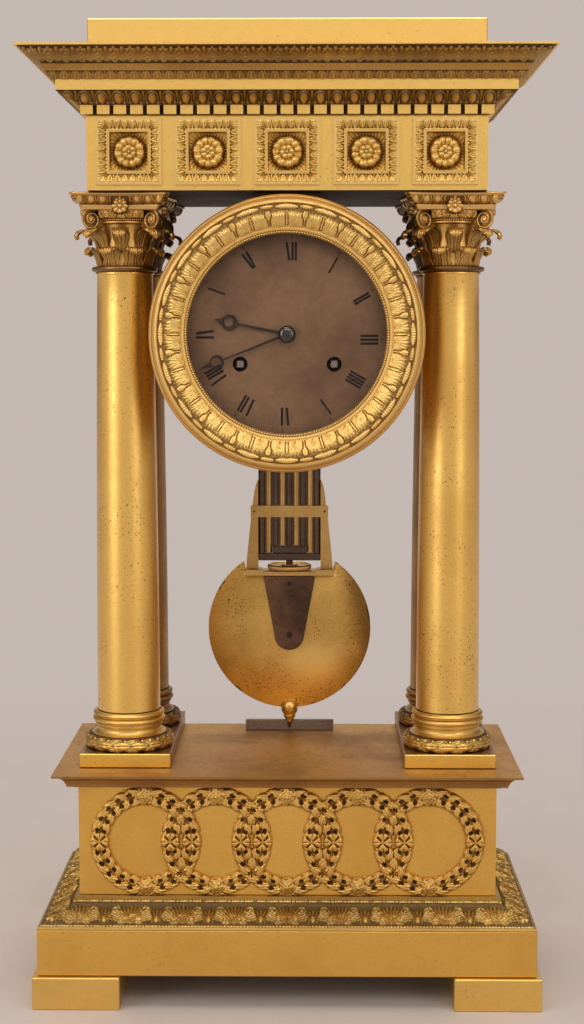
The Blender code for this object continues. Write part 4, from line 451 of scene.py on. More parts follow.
def flow(path, count):
    """A smooth curve of this many points through the given ones."""
    path = np.array(path, float)
    ends = np.vstack([2 * path[0] - path[1], path, 2 * path[-1] - path[-2]])
    place = np.linspace(0, len(path) - 1 - 1e-9, count)
    first = place.astype(int)
    share = (place - first)[:, None]
    a, b, c, d = (ends[first + i] for i in range(4))
    return 0.5 * (2 * b + (c - a) * share + (2 * a - 5 * b + 4 * c - d) * share**2
                  + (3 * b - a - 3 * c + d) * share**3)


def every(distance, pitch, start=0.0):
    """The distance from the middle of the nearest repeat."""
    return (distance - start + pitch / 2) % pitch - pitch / 2


def palmette(x, y, reach, lobes, spread, side_reach=0.55, fat=0.92):
    """A fan of rounded lobes that rise from one foot, as a height from 0 to 1."""
    angle = np.arctan2(x, y)
    far = np.hypot(x, y)
    gap = 2 * spread / (lobes - 1)
    lobe = np.clip(np.round(angle / gap), -(lobes - 1) / 2, (lobes - 1) / 2)
    length = reach * (1 - (1 - side_reach) * (np.abs(lobe) / ((lobes - 1) / 2)) ** 1.4)
    along = far / length
    half = fat * gap / 2 * length * np.clip(along, 0, 1) ** 0.8 * np.sqrt(np.clip(1 - along**7, 0, 1)) + 1e-6
    off = far * np.sin(angle - lobe * gap) / half
    return np.sqrt(np.clip(1 - off**2, 0, 1)) * np.clip(0.35 + 0.65 * along, 0, 1) * (along < 1)


def beads(x, y, radius):
    return np.sqrt(np.clip(1 - (x**2 + y**2) / radius**2, 0, 1))


def palmette_slope(along, across):
    """Palmettes with scrolls at their feet, and lotus flowers between them."""
    x = every(along, 30.5)
    between = every(along, 30.5, 15.25)
    y = across
    wide = palmette(x, y - 1.4, 15.2, 17, 1.32, 0.84, 0.86) * 1.4
    heart = palmette(x, y - 1.0, 9.4, 9, 1.3, 0.8, 0.8) * 1.5
    lotus = palmette(between, y - 1.0, 12.6, 5, 0.42, 0.8, 0.8) * 0.8
    bud = 1.3 * beads(between, (y - 5.0) * 0.62, 1.9)
    scrolls = np.zeros(x.shape)
    for side in (-1, 1):
        ring = np.hypot(x - side * 8.6, y - 12.4)
        scrolls = np.maximum(scrolls, np.exp(-(((ring - 2.5) / 0.42) ** 2)))
        scrolls = np.maximum(scrolls, 0.9 * beads(ring, 0, 1.2))
        foot = np.hypot(x - side * 5.2, y - 2.7) - 1.8
        scrolls = np.maximum(scrolls, np.exp(-((foot / 0.42) ** 2)))
        stem = np.abs(np.abs(between) - 2.4 - 0.03 * (y - 3.0) ** 2) * (y > 2) + 9.0 * (y <= 2)
        scrolls = np.maximum(scrolls, np.exp(-((stem / 0.40) ** 2)))
    height = np.maximum.reduce([wide, heart, lotus * (wide < 0.1), bud, scrolls * 1.25])
    ribs = 0.82 + 0.18 * np.cos(np.arctan2(x, y - 1.4) * 70)
    height = height * np.where(wide > scrolls, ribs, 1.0)
    return height * np.clip(y / 0.6, 0, 1) * np.clip((16.9 - y) / 0.6, 0, 1)


def small_leaves(along, across):
    x = every(along, 1.9)
    return 0.40 * np.sqrt(np.clip(1 - (x / 0.85) ** 2, 0, 1)) * np.clip(across / 0.4, 0, 1) * np.clip((2.0 - across) / 0.5, 0, 1)


def reels(along, across):
    x = every(along, 7.6)
    bar = np.clip((2.5 - np.abs(x)) / 0.3, 0, 1) * np.sqrt(np.clip(1 - ((across - 0.85) / 0.8) ** 2, 0, 1))
    pair = np.abs(np.abs(every(along, 7.6, 3.8)) - 0.5)
    return 0.7 * np.maximum(bar * (0.85 + 0.15 * np.cos(x * 3)), beads(pair, across - 0.85, 0.62))


brown_relief = metal_finish("brown_relief_gilding", (0.58, 0.375, 0.10), (0.38, 0.22, 0.055), 0.40, 0.8, 0.5, 700.0,
                            hollow=(0.14, 0.088, 0.028), crest=(0.86, 0.63, 0.22), depth=0.92)
low, high = span("palmette_moulding")
dado_low, dado_high = span("dado")
slope = [(22.4 + 22.4 * out, up * 13.8) for out, up in
         ((0, 0), (-0.027, 0.106), (-0.277, 0.284), (-0.665, 0.51), (-0.826, 0.69), (-0.879, 0.85), (-0.879, 1))]
curve = flow(slope[1:6], 60)
lengths = np.concatenate([[0], np.cumsum(np.hypot(*np.diff(curve, axis=0).T))])
cuts = [0, 2.0, lengths[-1] - 1.9, lengths[-1]]
parts = [np.array([[np.interp(d, lengths, curve[:, i]) for i in (0, 1)] for d in np.linspace(a, b, 40)])
         for a, b in zip(cuts[:-1], cuts[1:])]
bands = [(slope[:2], None), (parts[0], small_leaves), (parts[1], palmette_slope), (parts[2], reels), (slope[5:], None)]
inside = (dado_high[0] - 4, dado_low[1] + 4, high[1] - 4)
cast("palmette_run", moulding(dado_high[0], dado_low[1], high[1], low[2], bands, inner=inside), brown_relief,
     nodes=("palmette_moulding",))

# Five wreaths, cast in one band and pinned to the front of the dado, lap over each other. Each has a
# rose at its top and foot, a four-petalled flower at its sides, and pairs of ribbed leaves between, with
# small holes beside the stem that are sunk a little and painted nearly black: painted shade in them.


def polar(radii, steps, height, centre=(0, 0)):
    """A round skin in the plane of x and y, with its height and tone from the angle and the radius."""
    angle, radius = np.meshgrid(np.linspace(0, 2 * math.pi, steps, endpoint=False), radii)
    rise, tone = height(angle, radius)
    grid = np.stack([centre[0] + radius * np.sin(angle), centre[1] + radius * np.cos(angle), rise], axis=-1)
    return weave(grid, tone, wrap=True)


def oval(x, y, centre_x, centre_y, long, wide, turn=0.0):
    """How far a point lies from an oval's middle, 1 at its rim, with its places along and across."""
    across = (x - centre_x) * math.cos(turn) + (y - centre_y) * math.sin(turn)
    up = (y - centre_y) * math.cos(turn) - (x - centre_x) * math.sin(turn)
    return np.hypot(across / long, up / wide), across / long, up / wide


def wreath(angle, radius):
    turned_angle = every(angle, math.pi, math.pi / 2)
    x = np.abs(turned_angle) * WREATH_RING
    y = radius - WREATH_RING
    ground = 1.1 * np.sqrt(np.clip(1 - (y / 5.3) ** 2, 0, 1))
    scallop = 4.9 + 0.8 * np.cos((x - 2.2) * 2 * math.pi / 6.9)
    height = np.where(np.abs(y) < scallop, 0.55 + 0.35 * ground, -0.5)
    holes = np.ones(x.shape)
    for k in range(-1, 6):
        for side in (-1, 1):
            far, along, across = oval(x, y * side, 8.6 + 6.9 * k, 2.9, 4.5, 2.5, -0.34)
            rib = 0.86 + 0.14 * np.cos(across * 9 + along * 2) - 0.34 * np.exp(-((across / 0.11) ** 2))
            leaf = 0.85 + 2.0 * np.clip(1 - far**2, 0, 1) ** 0.4 * rib
            height = np.where(far < 1, np.maximum(height, leaf), height)
            far, along, across = oval(x, y * side, 6.2 + 6.9 * k, 2.1, 1.3, 1.05, 0.35 + 0.3 * math.sin(3.1 * k + side))
            far = (along**4 + across**4) ** 0.25 + 0.25 * np.clip(along * across, -0.6, 0.6)
            holes = np.minimum(holes, np.clip((far - 0.82) * 4, 0, 1))
    stem = np.exp(-((y / 0.45) ** 2)) * 2.0
    height = np.maximum(height * holes + 0.15 * (1 - holes), stem * (height > 0))
    # In the holes the tone falls to nothing, so they take the dark hollow colour: painted shade.
    tone = np.clip((height - 0.6) / 2.2, 0, 1) * (0.25 + 0.75 * holes)
    tone = np.where(np.abs(y) > scallop - 0.45, 0.42, tone)
    petal_x, petal_y = every(angle, math.pi, math.pi / 2) * radius, y
    far = np.hypot(petal_x, petal_y)
    place = np.arctan2(petal_y, petal_x)
    rim = 5.6 * (0.76 + 0.24 * np.abs(np.cos(2 * place)) ** 0.5)
    cross = np.exp(-((far * np.sin(every(place, math.pi / 2, math.pi / 4)) / (0.26 + 0.07 * far)) ** 2))
    cleft = np.exp(-((far * np.sin(every(place, math.pi / 2)) / 0.26) ** 2)) * np.clip((far - 1.6) / 3, 0, 1)
    flower = (2.1 + 1.2 * np.sin(np.clip(far / rim, 0, 1) * 2.6)) * (1 - 0.55 * cross) * (1 - 0.3 * cleft)
    flower = np.where(far < 1.1, 3.0, flower)
    inside = far < rim
    height = np.where(inside, flower, height)
    tone = np.where(inside, 0.92 - 0.66 * cross - 0.45 * cleft - 0.05 * far, tone)
    rose_x, rose_y = every(angle, math.pi) * radius, y
    far = np.hypot(rose_x, rose_y)
    place = np.arctan2(rose_y, rose_x)
    wavy = far * (1 + 0.10 * np.cos(place * 5 + 1) + 0.07 * np.cos(place * 9))
    ring = np.clip((wavy / 5.1) * 3, 0, 2.999)
    count = np.choose(ring.astype(int), [4, 7, 10])
    lobe = np.abs(np.cos(place * count / 2 + ring.astype(int) * 0.7)) ** 0.6
    step = ring - ring.astype(int)
    rose = 3.9 - 0.75 * ring.astype(int) - 0.9 * step**3 + 0.3 * lobe - 0.2
    rim = 4.7 + 0.45 * np.abs(np.cos(place * 6 + 1.4))
    height = np.where(far < rim, rose, height)
    # Each ring of petals is bright at its inner edge and darkens towards the step to the next: painted shade.
    tone = np.where(far < rim, (0.95 - 0.75 * step**1.5) * (0.45 + 0.55 * lobe), tone)
    lift = 0.45 * np.sin(2 * angle)
    return np.where(height > 0, height + lift * (height > 0.2), height), tone


UPRIGHT = Matrix.Rotation(math.pi / 2, 4, "X")
WREATH_RING = 27.3
wreath_gilding = metal_finish("wreath_gilding", (0.74, 0.45, 0.11), (0.55, 0.31, 0.07), 0.40, 0.6, 0.35, 700.0,
                              hollow=(0.085, 0.036, 0.012), crest=(0.88, 0.60, 0.185), depth=0.95)
low, high = span("wreath_band")
centre_z = (low[2] + high[2]) / 2
ring = polar(np.arange(21.2, 33.2, 0.34), 500, wreath)
spots = []
for i in range(5):
    spot = Vector((0.0418 * (i - 2), (dado_low[1] - 0.05) / 1000, centre_z / 1000))
    spots.append((f"wreath_{i + 1}", Matrix.Translation(spot) @ UPRIGHT, ("wreath_band",) if i == 2 else ()))
cast("wreath", ring, wreath_gilding, spots=spots, crease=60)

# The plinth slab has an ovolo edge and carries two flat rails, front to back, under the columns. Its
# top has lost some of its gilding and is matt and brownish; its edge is painted darker, as painted shade.
# The rails are bright in front and painted dark brown on their tops and sides.
slab_wear_and_shade = metal_finish("slab_wear_and_shade_gilding", (0.68, 0.40, 0.13), (0.40, 0.22, 0.08), 0.50, 0.9, 0.7, 360.0, coat=0.1)
rail_gilding = metal_finish("rail_gilding", (0.96, 0.65, 0.14), (0.74, 0.46, 0.09), 0.36, 0.5, 0.4)
# Faces that don't look up are painted darker: painted shade on the slab's edge and sides.
tree = slab_wear_and_shade.node_tree
skin = tree.nodes["Principled BSDF"]
upward = wire(tree, "SeparateXYZ", {0: wire(tree, "TexCoord").outputs["Normal"]}).outputs["Z"]
top = skin.inputs["Base Color"].links[0].from_socket
tree.links.new(mixed(tree, ramp(tree, upward, 0.4, 0.9), mixed(tree, 0.62, top, (0.28, 0.13, 0.035, 1)), top),
               skin.inputs["Base Color"])
# Faces that don't look forward are painted dark brown: wear on the rails' tops, painted shade on their sides.
tree = rail_gilding.node_tree
skin = tree.nodes["Principled BSDF"]
forward = wire(tree, "SeparateXYZ", {0: wire(tree, "TexCoord").outputs["Normal"]}).outputs["Y"]
gilt = skin.inputs["Base Color"].links[0].from_socket
tree.links.new(mixed(tree, ramp(tree, forward, -0.9, -0.4), gilt, (0.34, 0.19, 0.065, 1)), skin.inputs["Base Color"])
dress(slab_wear_and_shade, "plinth_slab")
dress(rail_gilding, "rail_left", "rail_right")

# Each column stands on a turned base of two thin rings and a hollow, over a torus cast as a wreath of
# laurel. The shaft is a drawn and turned tube, burnished bright, with a dark ring at its neck.


def turning(profile, steps, relief=None, centre=(0, 0, 0), step=0.5):
    """A skin turned about the vertical, from (radius, height) pairs, with relief as a moulding has it."""
    path = np.array(profile, float)
    lengths = np.concatenate([[0], np.cumsum(np.hypot(*np.diff(path, axis=0).T))])
    across = lengths
    if relief:
        across = np.linspace(0, lengths[-1], int(lengths[-1] / step) + 1)
        path = np.stack([np.interp(across, lengths, path[:, i]) for i in (0, 1)], axis=1)
    slope = np.gradient(path, axis=0)
    slope /= np.hypot(slope[:, :1], slope[:, 1:]) + 1e-9
    angle = np.linspace(0, 2 * math.pi, steps, endpoint=False)[None, :]
    height = np.zeros((len(path), steps))
    tone = np.full(height.shape, 0.7)
    if relief:
        height = relief(np.broadcast_to(angle, height.shape), np.broadcast_to(across[:, None], height.shape))
        if isinstance(height, tuple):
            height, tone = height
        else:
            tone = height / max(height.max(), 1e-6)
    radius = path[:, :1] + slope[:, 1:] * height
    up = path[:, 1:] - slope[:, :1] * height
    grid = np.stack([radius * np.cos(angle), radius * np.sin(angle), up + 0 * angle], axis=-1)
    return weave(grid + np.array(centre, float), tone, wrap=True)


def laurel(angle, across):
    """Bunches of three laurel leaves that point round the ring, with berries along their upper edge."""
    count = 15
    pitch = 2 * math.pi / count
    x = every(angle, pitch) * 24.6
    height = np.zeros(x.shape)
    for shift in (-10.3, 0.0, 10.3):
        for start, middle, turn, long, wide in ((-3.4, 7.2, 0.16, 5.2, 1.7), (-3.4, 1.7, -0.12, 5.2, 1.6),
                                                (0.6, 4.4, 0.0, 6.0, 2.5)):
            far, along, side = oval(x + shift, across, start, middle, long, wide, turn)
            far = np.sqrt(side**2 + np.abs(along) ** 1.5)
            rib = 1 - 0.45 * np.exp(-((side / 0.17) ** 2)) - 0.18 * np.abs(np.sin(side * 5 - along * 5))
            leaf = np.clip(1 - far**2, 0, 1) ** 0.4 * rib * (0.75 + 0.2 * (start > 0))
            height = np.where(far < 1, np.maximum(leaf, height * (start < 0)), height)
    for place in (-2.6, 2.6):
        height = np.maximum(height, 0.95 * beads(every(angle, pitch, place / 24.6) * 24.6, across - 7.4, 0.95))
    tone = height * np.clip(1.25 - 0.085 * across, 0, 1)
    tone = np.where((across > 6.4) & (height > 0.86), 1.0, tone)
    return height * 1.05, np.clip(tone, 0, 1)


dark_ring = metal_finish("dark_ring_bronze", (0.30, 0.17, 0.06), (0.13, 0.07, 0.03), 0.36, 0.8, 0.8, 600.0)
chased = metal_finish("chased_gilding", (0.82, 0.54, 0.145), (0.60, 0.36, 0.085), 0.37, 0.6, 0.4, 700.0,
                      hollow=(0.10, 0.045, 0.013), crest=(0.98, 0.74, 0.30), depth=0.92)
burnished = metal_finish("burnished_gilding", (1.0, 0.645, 0.155), (0.76, 0.44, 0.085), 0.36, 0.6, 0.85, 820.0,
                         coat=0.8, share=0.025)
shaded = metal_finish("shaded_gilding", (0.50, 0.29, 0.09), (0.30, 0.16, 0.05), 0.42, 0.8, 0.7, 640.0,
                      hollow=(0.03, 0.014, 0.006), crest=(0.55, 0.33, 0.11), depth=0.95)
base_low, base_high = span("column_base_front_left")
shaft_low, shaft_high = span("column_shaft_front_left")
base_rise = base_high[2] - base_low[2]
ring_path = flow([(24.6, 0), (26.0, 1.6), (26.1, 4.0), (24.9, 6.4), (22.6, 8.2)], 40)
low_base = turning(ring_path, 360, laurel, step=0.33)
upper = [(22.4, 8.3), (20.3, 9.1), (19.5, 10.2), (19.3, 11.6), (19.6, 12.8), (20.3, 13.6), (20.3, 14.3),
         (19.6, 14.4), (19.6, 14.8), (20.6, 15.0), (21.4, 15.5), (21.8, 16.3), (21.7, 17.1), (21.1, 17.8),
         (20.0, 18.2), (19.5, 18.4), (19.5, 18.8), (20.5, 19.0), (21.1, 19.4), (21.4, 20.1), (21.2, 20.8),
         (20.7, 21.3), (20.0, 21.6), (20.0, base_rise), (19.0, base_rise)]
bottom = turning([(2.7, 0), (24.6, 0)], 360)
rings = turning(upper, 96)
spots = []
shaft_spots = []
for row in ("front", "rear"):
    for side in ("left", "right"):
        low, high = span(f"column_base_{row}_{side}")
        centre = (low + high) / 2000
        own = (shaded,) if row == "rear" else ()
        spots.append((f"laurel_base_{row}_{side}", Matrix.Translation((centre[0], centre[1], low[2] / 1000)),
                      (f"column_base_{row}_{side}",), *own))
        shaft_spots.append((f"shaft_{row}_{side}", Matrix.Translation((centre[0], centre[1], shaft_low[2] / 1000)),
                            (f"column_shaft_{row}_{side}",), *own))
cast("laurel_base", gather([bottom, low_base, rings]), chased, spots=spots)
rise = shaft_high[2] - shaft_low[2]
ups = np.linspace(0, 1, 14)
shaft_path = [(12.5, 0), (18.6, 0)]
shaft_path += [(18.85 - 2.45 * up + 0.44 * math.sin(math.pi * up), 0.25 + up * (rise - 5.2)) for up in ups]
shaft_path += [(16.5, rise - 4.7), (17.3, rise - 4.4), (17.3, rise - 3.6), (16.7, rise - 3.2)]
cast("shaft", turning(shaft_path, 112), burnished, spots=shaft_spots)
ring = [(16.6, rise - 3.2), (18.4, rise - 3.0), (19.3, rise - 2.4), (19.6, rise - 1.5), (19.3, rise - 0.6),
        (18.4, rise - 0.1), (16.4, rise)]
cast("neck_ring", turning(ring, 96), dark_ring,
     spots=[(label.replace("shaft", "neck_ring"), matrix, ()) for label, matrix, *_ in shaft_spots])

# Each capital is built up of castings, chased and pinned together: a bell with a ring of pearls, two
# rows of eight acanthus leaves that curl outward, scrolls in pairs at the corners, and an abacus with
# eggs round its edge and a flower in the middle of each side.


def shifted(shape, matrix):
    """A shape moved by a 4 by 4 matrix, in millimetres."""
    matrix = np.array(matrix)
    return shape[0] @ matrix[:3, :3].T + matrix[:3, 3], shape[1], shape[2]


def around(shape, degrees):
    """Copies of a shape, turned about the vertical through the middle."""
    return gather([shifted(shape, Matrix.Rotation(math.radians(degree), 4, "Z")) for degree in degrees])


def acanthus(path, widths, lobes):
    """A leaf that climbs along the path of (out, up) points, with ribs on both its faces."""
    line = flow(path, 26)
    ahead = np.gradient(line, axis=0)
    ahead /= np.hypot(ahead[:, :1], ahead[:, 1:])
    share = np.linspace(0, 1, 26)[:, None]
    half = np.interp(share, *np.array(widths, float).T) * (0.76 + 0.24 * np.abs(np.cos(math.pi * lobes * share)))
    across = np.concatenate([np.linspace(-1, 1, 21), np.linspace(0.92, -0.92, 19)])[None, :]
    front = np.concatenate([np.ones(21), -np.ones(19)])[None, :]
    rib = np.abs(np.cos(across * math.pi * 3)) ** 0.7
    vein = np.exp(-((across / 0.10) ** 2))
    cup = np.interp(share, [0, 0.45, 0.65, 1], [-1.0, -0.8, 0.8, 1.0]) * across**2
    rib = rib * (0.85 + 0.15 * np.sin(share * 46 + across * 9))
    lift = front * (0.20 + 0.45 * rib + 0.25 * vein) + cup
    out = line[:, :1] + ahead[:, 1:] * lift
    up = line[:, 1:] - ahead[:, :1] * lift
    # Painted light along the leaf: painted shade under the curl and a painted highlight on the turned-over tip.
    light = np.interp(share, [0, 0.25, 0.5, 0.7, 0.85, 1], [0.55, 0.45, 0.25, 0.55, 0.85, 0.8])
    tone = np.where(front > 0, np.minimum(light, 0.5), light) * (0.35 + 0.75 * rib)
    return weave(np.stack([across * half, -out + 0 * across, up + 0 * across], axis=-1), tone, wrap=True)


def volute(side):
    """A scroll that winds inward from its top, with its sides run back to the bell."""
    share, angle = np.meshgrid(np.concatenate([np.linspace(0.004, 0.97, 28), [1.0, 1.02]]),
                               np.linspace(0, 2 * math.pi, 64, endpoint=False), indexing="ij")
    wound = side * angle / (2 * math.pi) % 1
    radius = share * (np.interp(wound, [0, 0.25, 0.5, 0.75, 1], [5.9, 5.2, 5.0, 5.1, 5.9]) + 0.35)
    away = [np.abs(radius - np.interp(wound + k, np.arange(10) / 4, [5.9, 5.2, 5.0, 4.6, 3.4, 2.5, 2.1, 1.9, 1.5, 0.8]))
            for k in (0, 1, 2)]
    fillet = np.exp(-((np.minimum.reduce(away) / 0.50) ** 4))
    fillet = np.where(radius < 0.8, 1.0, fillet)
    height = -0.9 + 1.6 * fillet
    height[-2:] = [[0.5], [-0.6]]
    disc = weave(np.stack([radius * np.sin(angle), radius * np.cos(angle), height], axis=-1), 0.08 + 0.9 * fillet,
                 wrap=True)
    place = Matrix.Translation((side * 17.5, -18.6, 26.4)) @ Matrix.Rotation(-side * math.radians(36), 4, "Z")
    disc = shifted(disc, place @ UPRIGHT)
    rim = disc[0][-64:]
    behind = rim + np.array([-side * 4.2, 4.2, 0])
    return gather([disc, weave(np.stack([rim, behind]), np.full((2, 64), 0.35), wrap=True)])


def scroll_panel():
    """The chased field between two scrolls, with rings and a sprig beside the flower."""
    x, z = np.meshgrid(np.linspace(-13, 13, 81), np.linspace(26.9, 34.2, 21))
    height = np.zeros(x.shape)
    for centre, radius in (((7.0, 31.6), 1.35), ((10.2, 31.5), 1.35), ((8.7, 28.8), 1.2), ((4.6, 28.7), 1.2)):
        ring = np.hypot(np.abs(x) - centre[0], z - centre[1])
        height = np.maximum(height, np.exp(-(((ring - radius) / 0.38) ** 2)))
        height = np.maximum(height, np.exp(-((ring / 0.45) ** 2)))
    for foot in (6.6, 11.5):
        height = np.maximum(height, 0.9 * np.exp(-(((np.abs(x) - foot - 0.55 * (z - 27)) / 0.4) ** 2)))
    height = np.maximum(height, palmette(x, z - 26.2, 3.4, 7, 1.4, 0.9))
    depth = 17.2 + 0.28 * (z - 26.9) + 0.75 * height
    depth[0] = 15
    depth[-1] = 15
    return weave(np.stack([x, -depth, z], axis=-1), 0.25 + 0.75 * height)


def abacus():
    """The moulded top with hollow sides and clipped corners, and eggs round it."""
    share = np.linspace(-1, 1, 111)[None, :]
    foot = [(20.0, 31.4), (22.6, 31.6), (23.2, 32.2), (23.3, 33.1), (23.9, 33.8), (23.9, 34.3), (23.2, 34.6)]
    ovolo = flow([(23.3, 34.7), (25.2, 35.5), (26.9, 37.1), (27.9, 39.3)], 14)
    head = [(27.7, 39.5), (27.8, 39.8), (28.9, 40.0), (29.1, 40.3), (29.1, 41.1), (28.8, 41.38), (9, 41.39)]
    rows = np.array(foot + ovolo.tolist() + head)
    half = rows[:, :1]
    climb = np.clip((np.arange(len(rows)) - len(foot)) / 13, 0, 1)[:, None]
    carved = ((np.arange(len(rows)) >= len(foot)) & (np.arange(len(rows)) < len(foot) + 14))[:, None]
    clip = half * 0.09
    x = share * (half - clip)
    off = every(np.abs(x), 6.45, 3.35)
    far = np.hypot(off / 2.0, (climb - 0.56) / 0.50)
    egg = np.sqrt(np.clip(1 - far**2, 0, 1))
    shell = np.exp(-(((far - 1.33) / 0.13) ** 2))
    tuft = palmette(x, climb * 5 - 0.4, 4.4, 5, 1.2, 0.9)
    height = np.where(np.abs(x) < 5.2, tuft, np.maximum(egg, 0.75 * shell)) * carved
    y = -(half - half * 0.115 * (1 - share**2)) - 0.95 * height
    tone = np.where(carved, 0.12 + 0.8 * height, 0.85) + 0 * x
    sides = []
    tones = []
    for turn in range(4):
        turned_x, turned_y = [(x, y), (-y, x), (-x, -y), (y, -x)][turn]
        sides.append(np.stack([turned_x, turned_y, rows[:, 1:] + 0 * x], axis=-1))
        tones.append(tone)
    return weave(np.concatenate(sides, axis=1), np.concatenate(tones, axis=1), wrap=True)


def small_flower(angle, radius):
    """Eight petals round a bead."""
    petal = np.abs(np.cos(4 * angle)) ** 0.7
    rise = (0.4 + 1.1 * petal) * np.sin(np.clip(radius / 4.6, 0, 1) * 2.7) + 0.5
    height = np.where(radius < 1.3, 1.4 + 0.9 * np.sqrt(np.clip(1 - (radius / 1.35) ** 2, 0, 1)), rise)
    tone = np.where(radius < 1.3, 1.0, 0.15 + 0.85 * petal * np.clip(radius / 2.5, 0, 1))
    edge = 3.7 + 0.9 * petal
    return np.where(radius > edge, -1.5, height), np.where(radius > edge, 0.1, tone)


def pearls(angle, across):
    return 0.5 * beads(every(angle, 2 * math.pi / 84) * 17.3, across - 0.55, 0.5)


low_slab = span("column_capital_front_left")[0][2]
bell = [(3, 0), (15.4, 0.02), (15.0, 4), (14.7, 12), (15.0, 18), (15.9, 22.6), (16.3, 23.7), (17.2, 23.9), (17.8, 24.4),
        (17.9, 25.0), (17.6, 25.6), (17.0, 25.9)]
neck = [(17.2, 27.0), (16.6, 27.2), (16.2, 29), (16.4, 34)]
upper_leaf = acanthus([(15.6, 7.5), (16.6, 13), (19.2, 18), (23.4, 20.6), (27.2, 20.3), (29.0, 17.9), (28.3, 15.4)],
                      [(0, 4.6), (0.45, 5.6), (0.68, 4.4), (0.88, 3.4), (0.97, 2.4), (1, 1.0)], 3.5)
lower_leaf = acanthus([(15.7, 0), (16.9, 4), (18.4, 7.6), (21.2, 9.9), (23.4, 9.4), (23.9, 7.6), (22.9, 6.2)],
                      [(0, 6.0), (0.5, 6.1), (0.72, 5.0), (0.93, 3.5), (0.98, 2.4), (1, 1.0)], 3.5)
flower = shifted(polar(np.arange(0.05, 4.75, 0.33), 56, small_flower),
                 Matrix.Translation((0, -23.4, 33.6)) @ Matrix.Rotation(math.radians(-12), 4, "X") @ UPRIGHT)
foot = low_slab - (span("column_capital_front_left")[1][2] - 41.4)
tie_rod = [(0.02, foot), (4.0, foot), (4.2, foot + 0.3), (4.2, foot + 3.7), (4.0, foot + 4), (2.4, foot + 4), (2.4, 2)]
parts = [turning(tie_rod, 24), turning(bell, 96), turning([(17.0, 25.9), (17.3, 26.4), (17.2, 27.0)], 504, pearls, step=0.16),
         turning(neck, 96), abacus(), around(upper_leaf, range(0, 360, 45)),
         around(lower_leaf, np.arange(22.5, 360, 45))]
quarter = gather([volute(-1), volute(1), scroll_panel(), flower])
parts.append(around(quarter, (0, 90, 180, 270)))
shaded_deep = metal_finish("deep_shaded_gilding", (0.24, 0.135, 0.05), (0.12, 0.065, 0.028), 0.50, 0.8, 0.7, 640.0,
                           hollow=(0.012, 0.007, 0.004), crest=(0.26, 0.15, 0.06), depth=0.95)
capital_gilding = metal_finish("capital_gilding", (0.78, 0.47, 0.125), (0.50, 0.27, 0.07), 0.38, 0.7, 0.5, 700.0,
                               hollow=(0.07, 0.030, 0.009), crest=(0.96, 0.68, 0.28), depth=0.92)
spots = []
for row in ("front", "rear"):
    for side in ("left", "right"):
        low, high = span(f"column_base_{row}_{side}")
        centre = (low + high) / 2000
        low, high = span(f"column_capital_{row}_{side}")
        spots.append((f"capital_{row}_{side}", Matrix.Translation((centre[0], centre[1], high[2] / 1000 - 0.0414)),
                      (f"column_capital_{row}_{side}",), *((shaded_deep,) if row == "rear" else ())))
cast("capital", gather(parts), capital_gilding, spots=spots, crease=50)

# The frieze is a box of bright plates. A thin, nearly black plate closes it underneath: painted shade
# on its soffit.


def block(low, high, lip=0.12):
    """A small block with its edges taken off."""
    low, high = np.array(low, float), np.array(high, float)
    rings = []
    for z, inset in ((low[2], lip), (low[2] + lip, 0), (high[2] - lip, 0), (high[2], lip)):
        x0, y0 = low[:2] + inset
        x1, y1 = high[:2] - inset
        rings.append([(x0, y0, z), (x1, y0, z), (x1, y1, z), (x0, y1, z)])
    points, faces, relief = weave(np.array(rings), wrap=True)
    return points, faces + [np.array([[3, 2, 1, 0], [12, 13, 14, 15]])], relief


bright_gilding = metal_finish("bright_gilding", (0.98, 0.66, 0.18), (0.84, 0.53, 0.125), 0.36, 0.5, 0.5, 700.0, coat=0.4)
dress(bright_gilding, "frieze_box", "attic_slab")
# Nearly black bronze that paints shade: under the frieze, behind the dentils and on the front plate.
painted_shade_bronze = metal_finish("painted_shade_bronze", (0.085, 0.052, 0.034), (0.04, 0.026, 0.018), 0.72, 0.9, 0.6, 400.0, coat=0.0)
low, high = span("frieze_box")
frieze_front = low[1]
soffit = block((low[0] + 0.6, low[1] + 0.6, low[2] - 0.22), (high[0] - 0.6, high[1] - 0.6, low[2] + 0.1), 0.05)
cast("soffit_plate", soffit, painted_shade_bronze)

# Five square coffers are let into the frieze. Each is cast with a frame of leaf tips, a deep sunk
# field of leaf ribs and a domed rosette of two rings of curled petals.


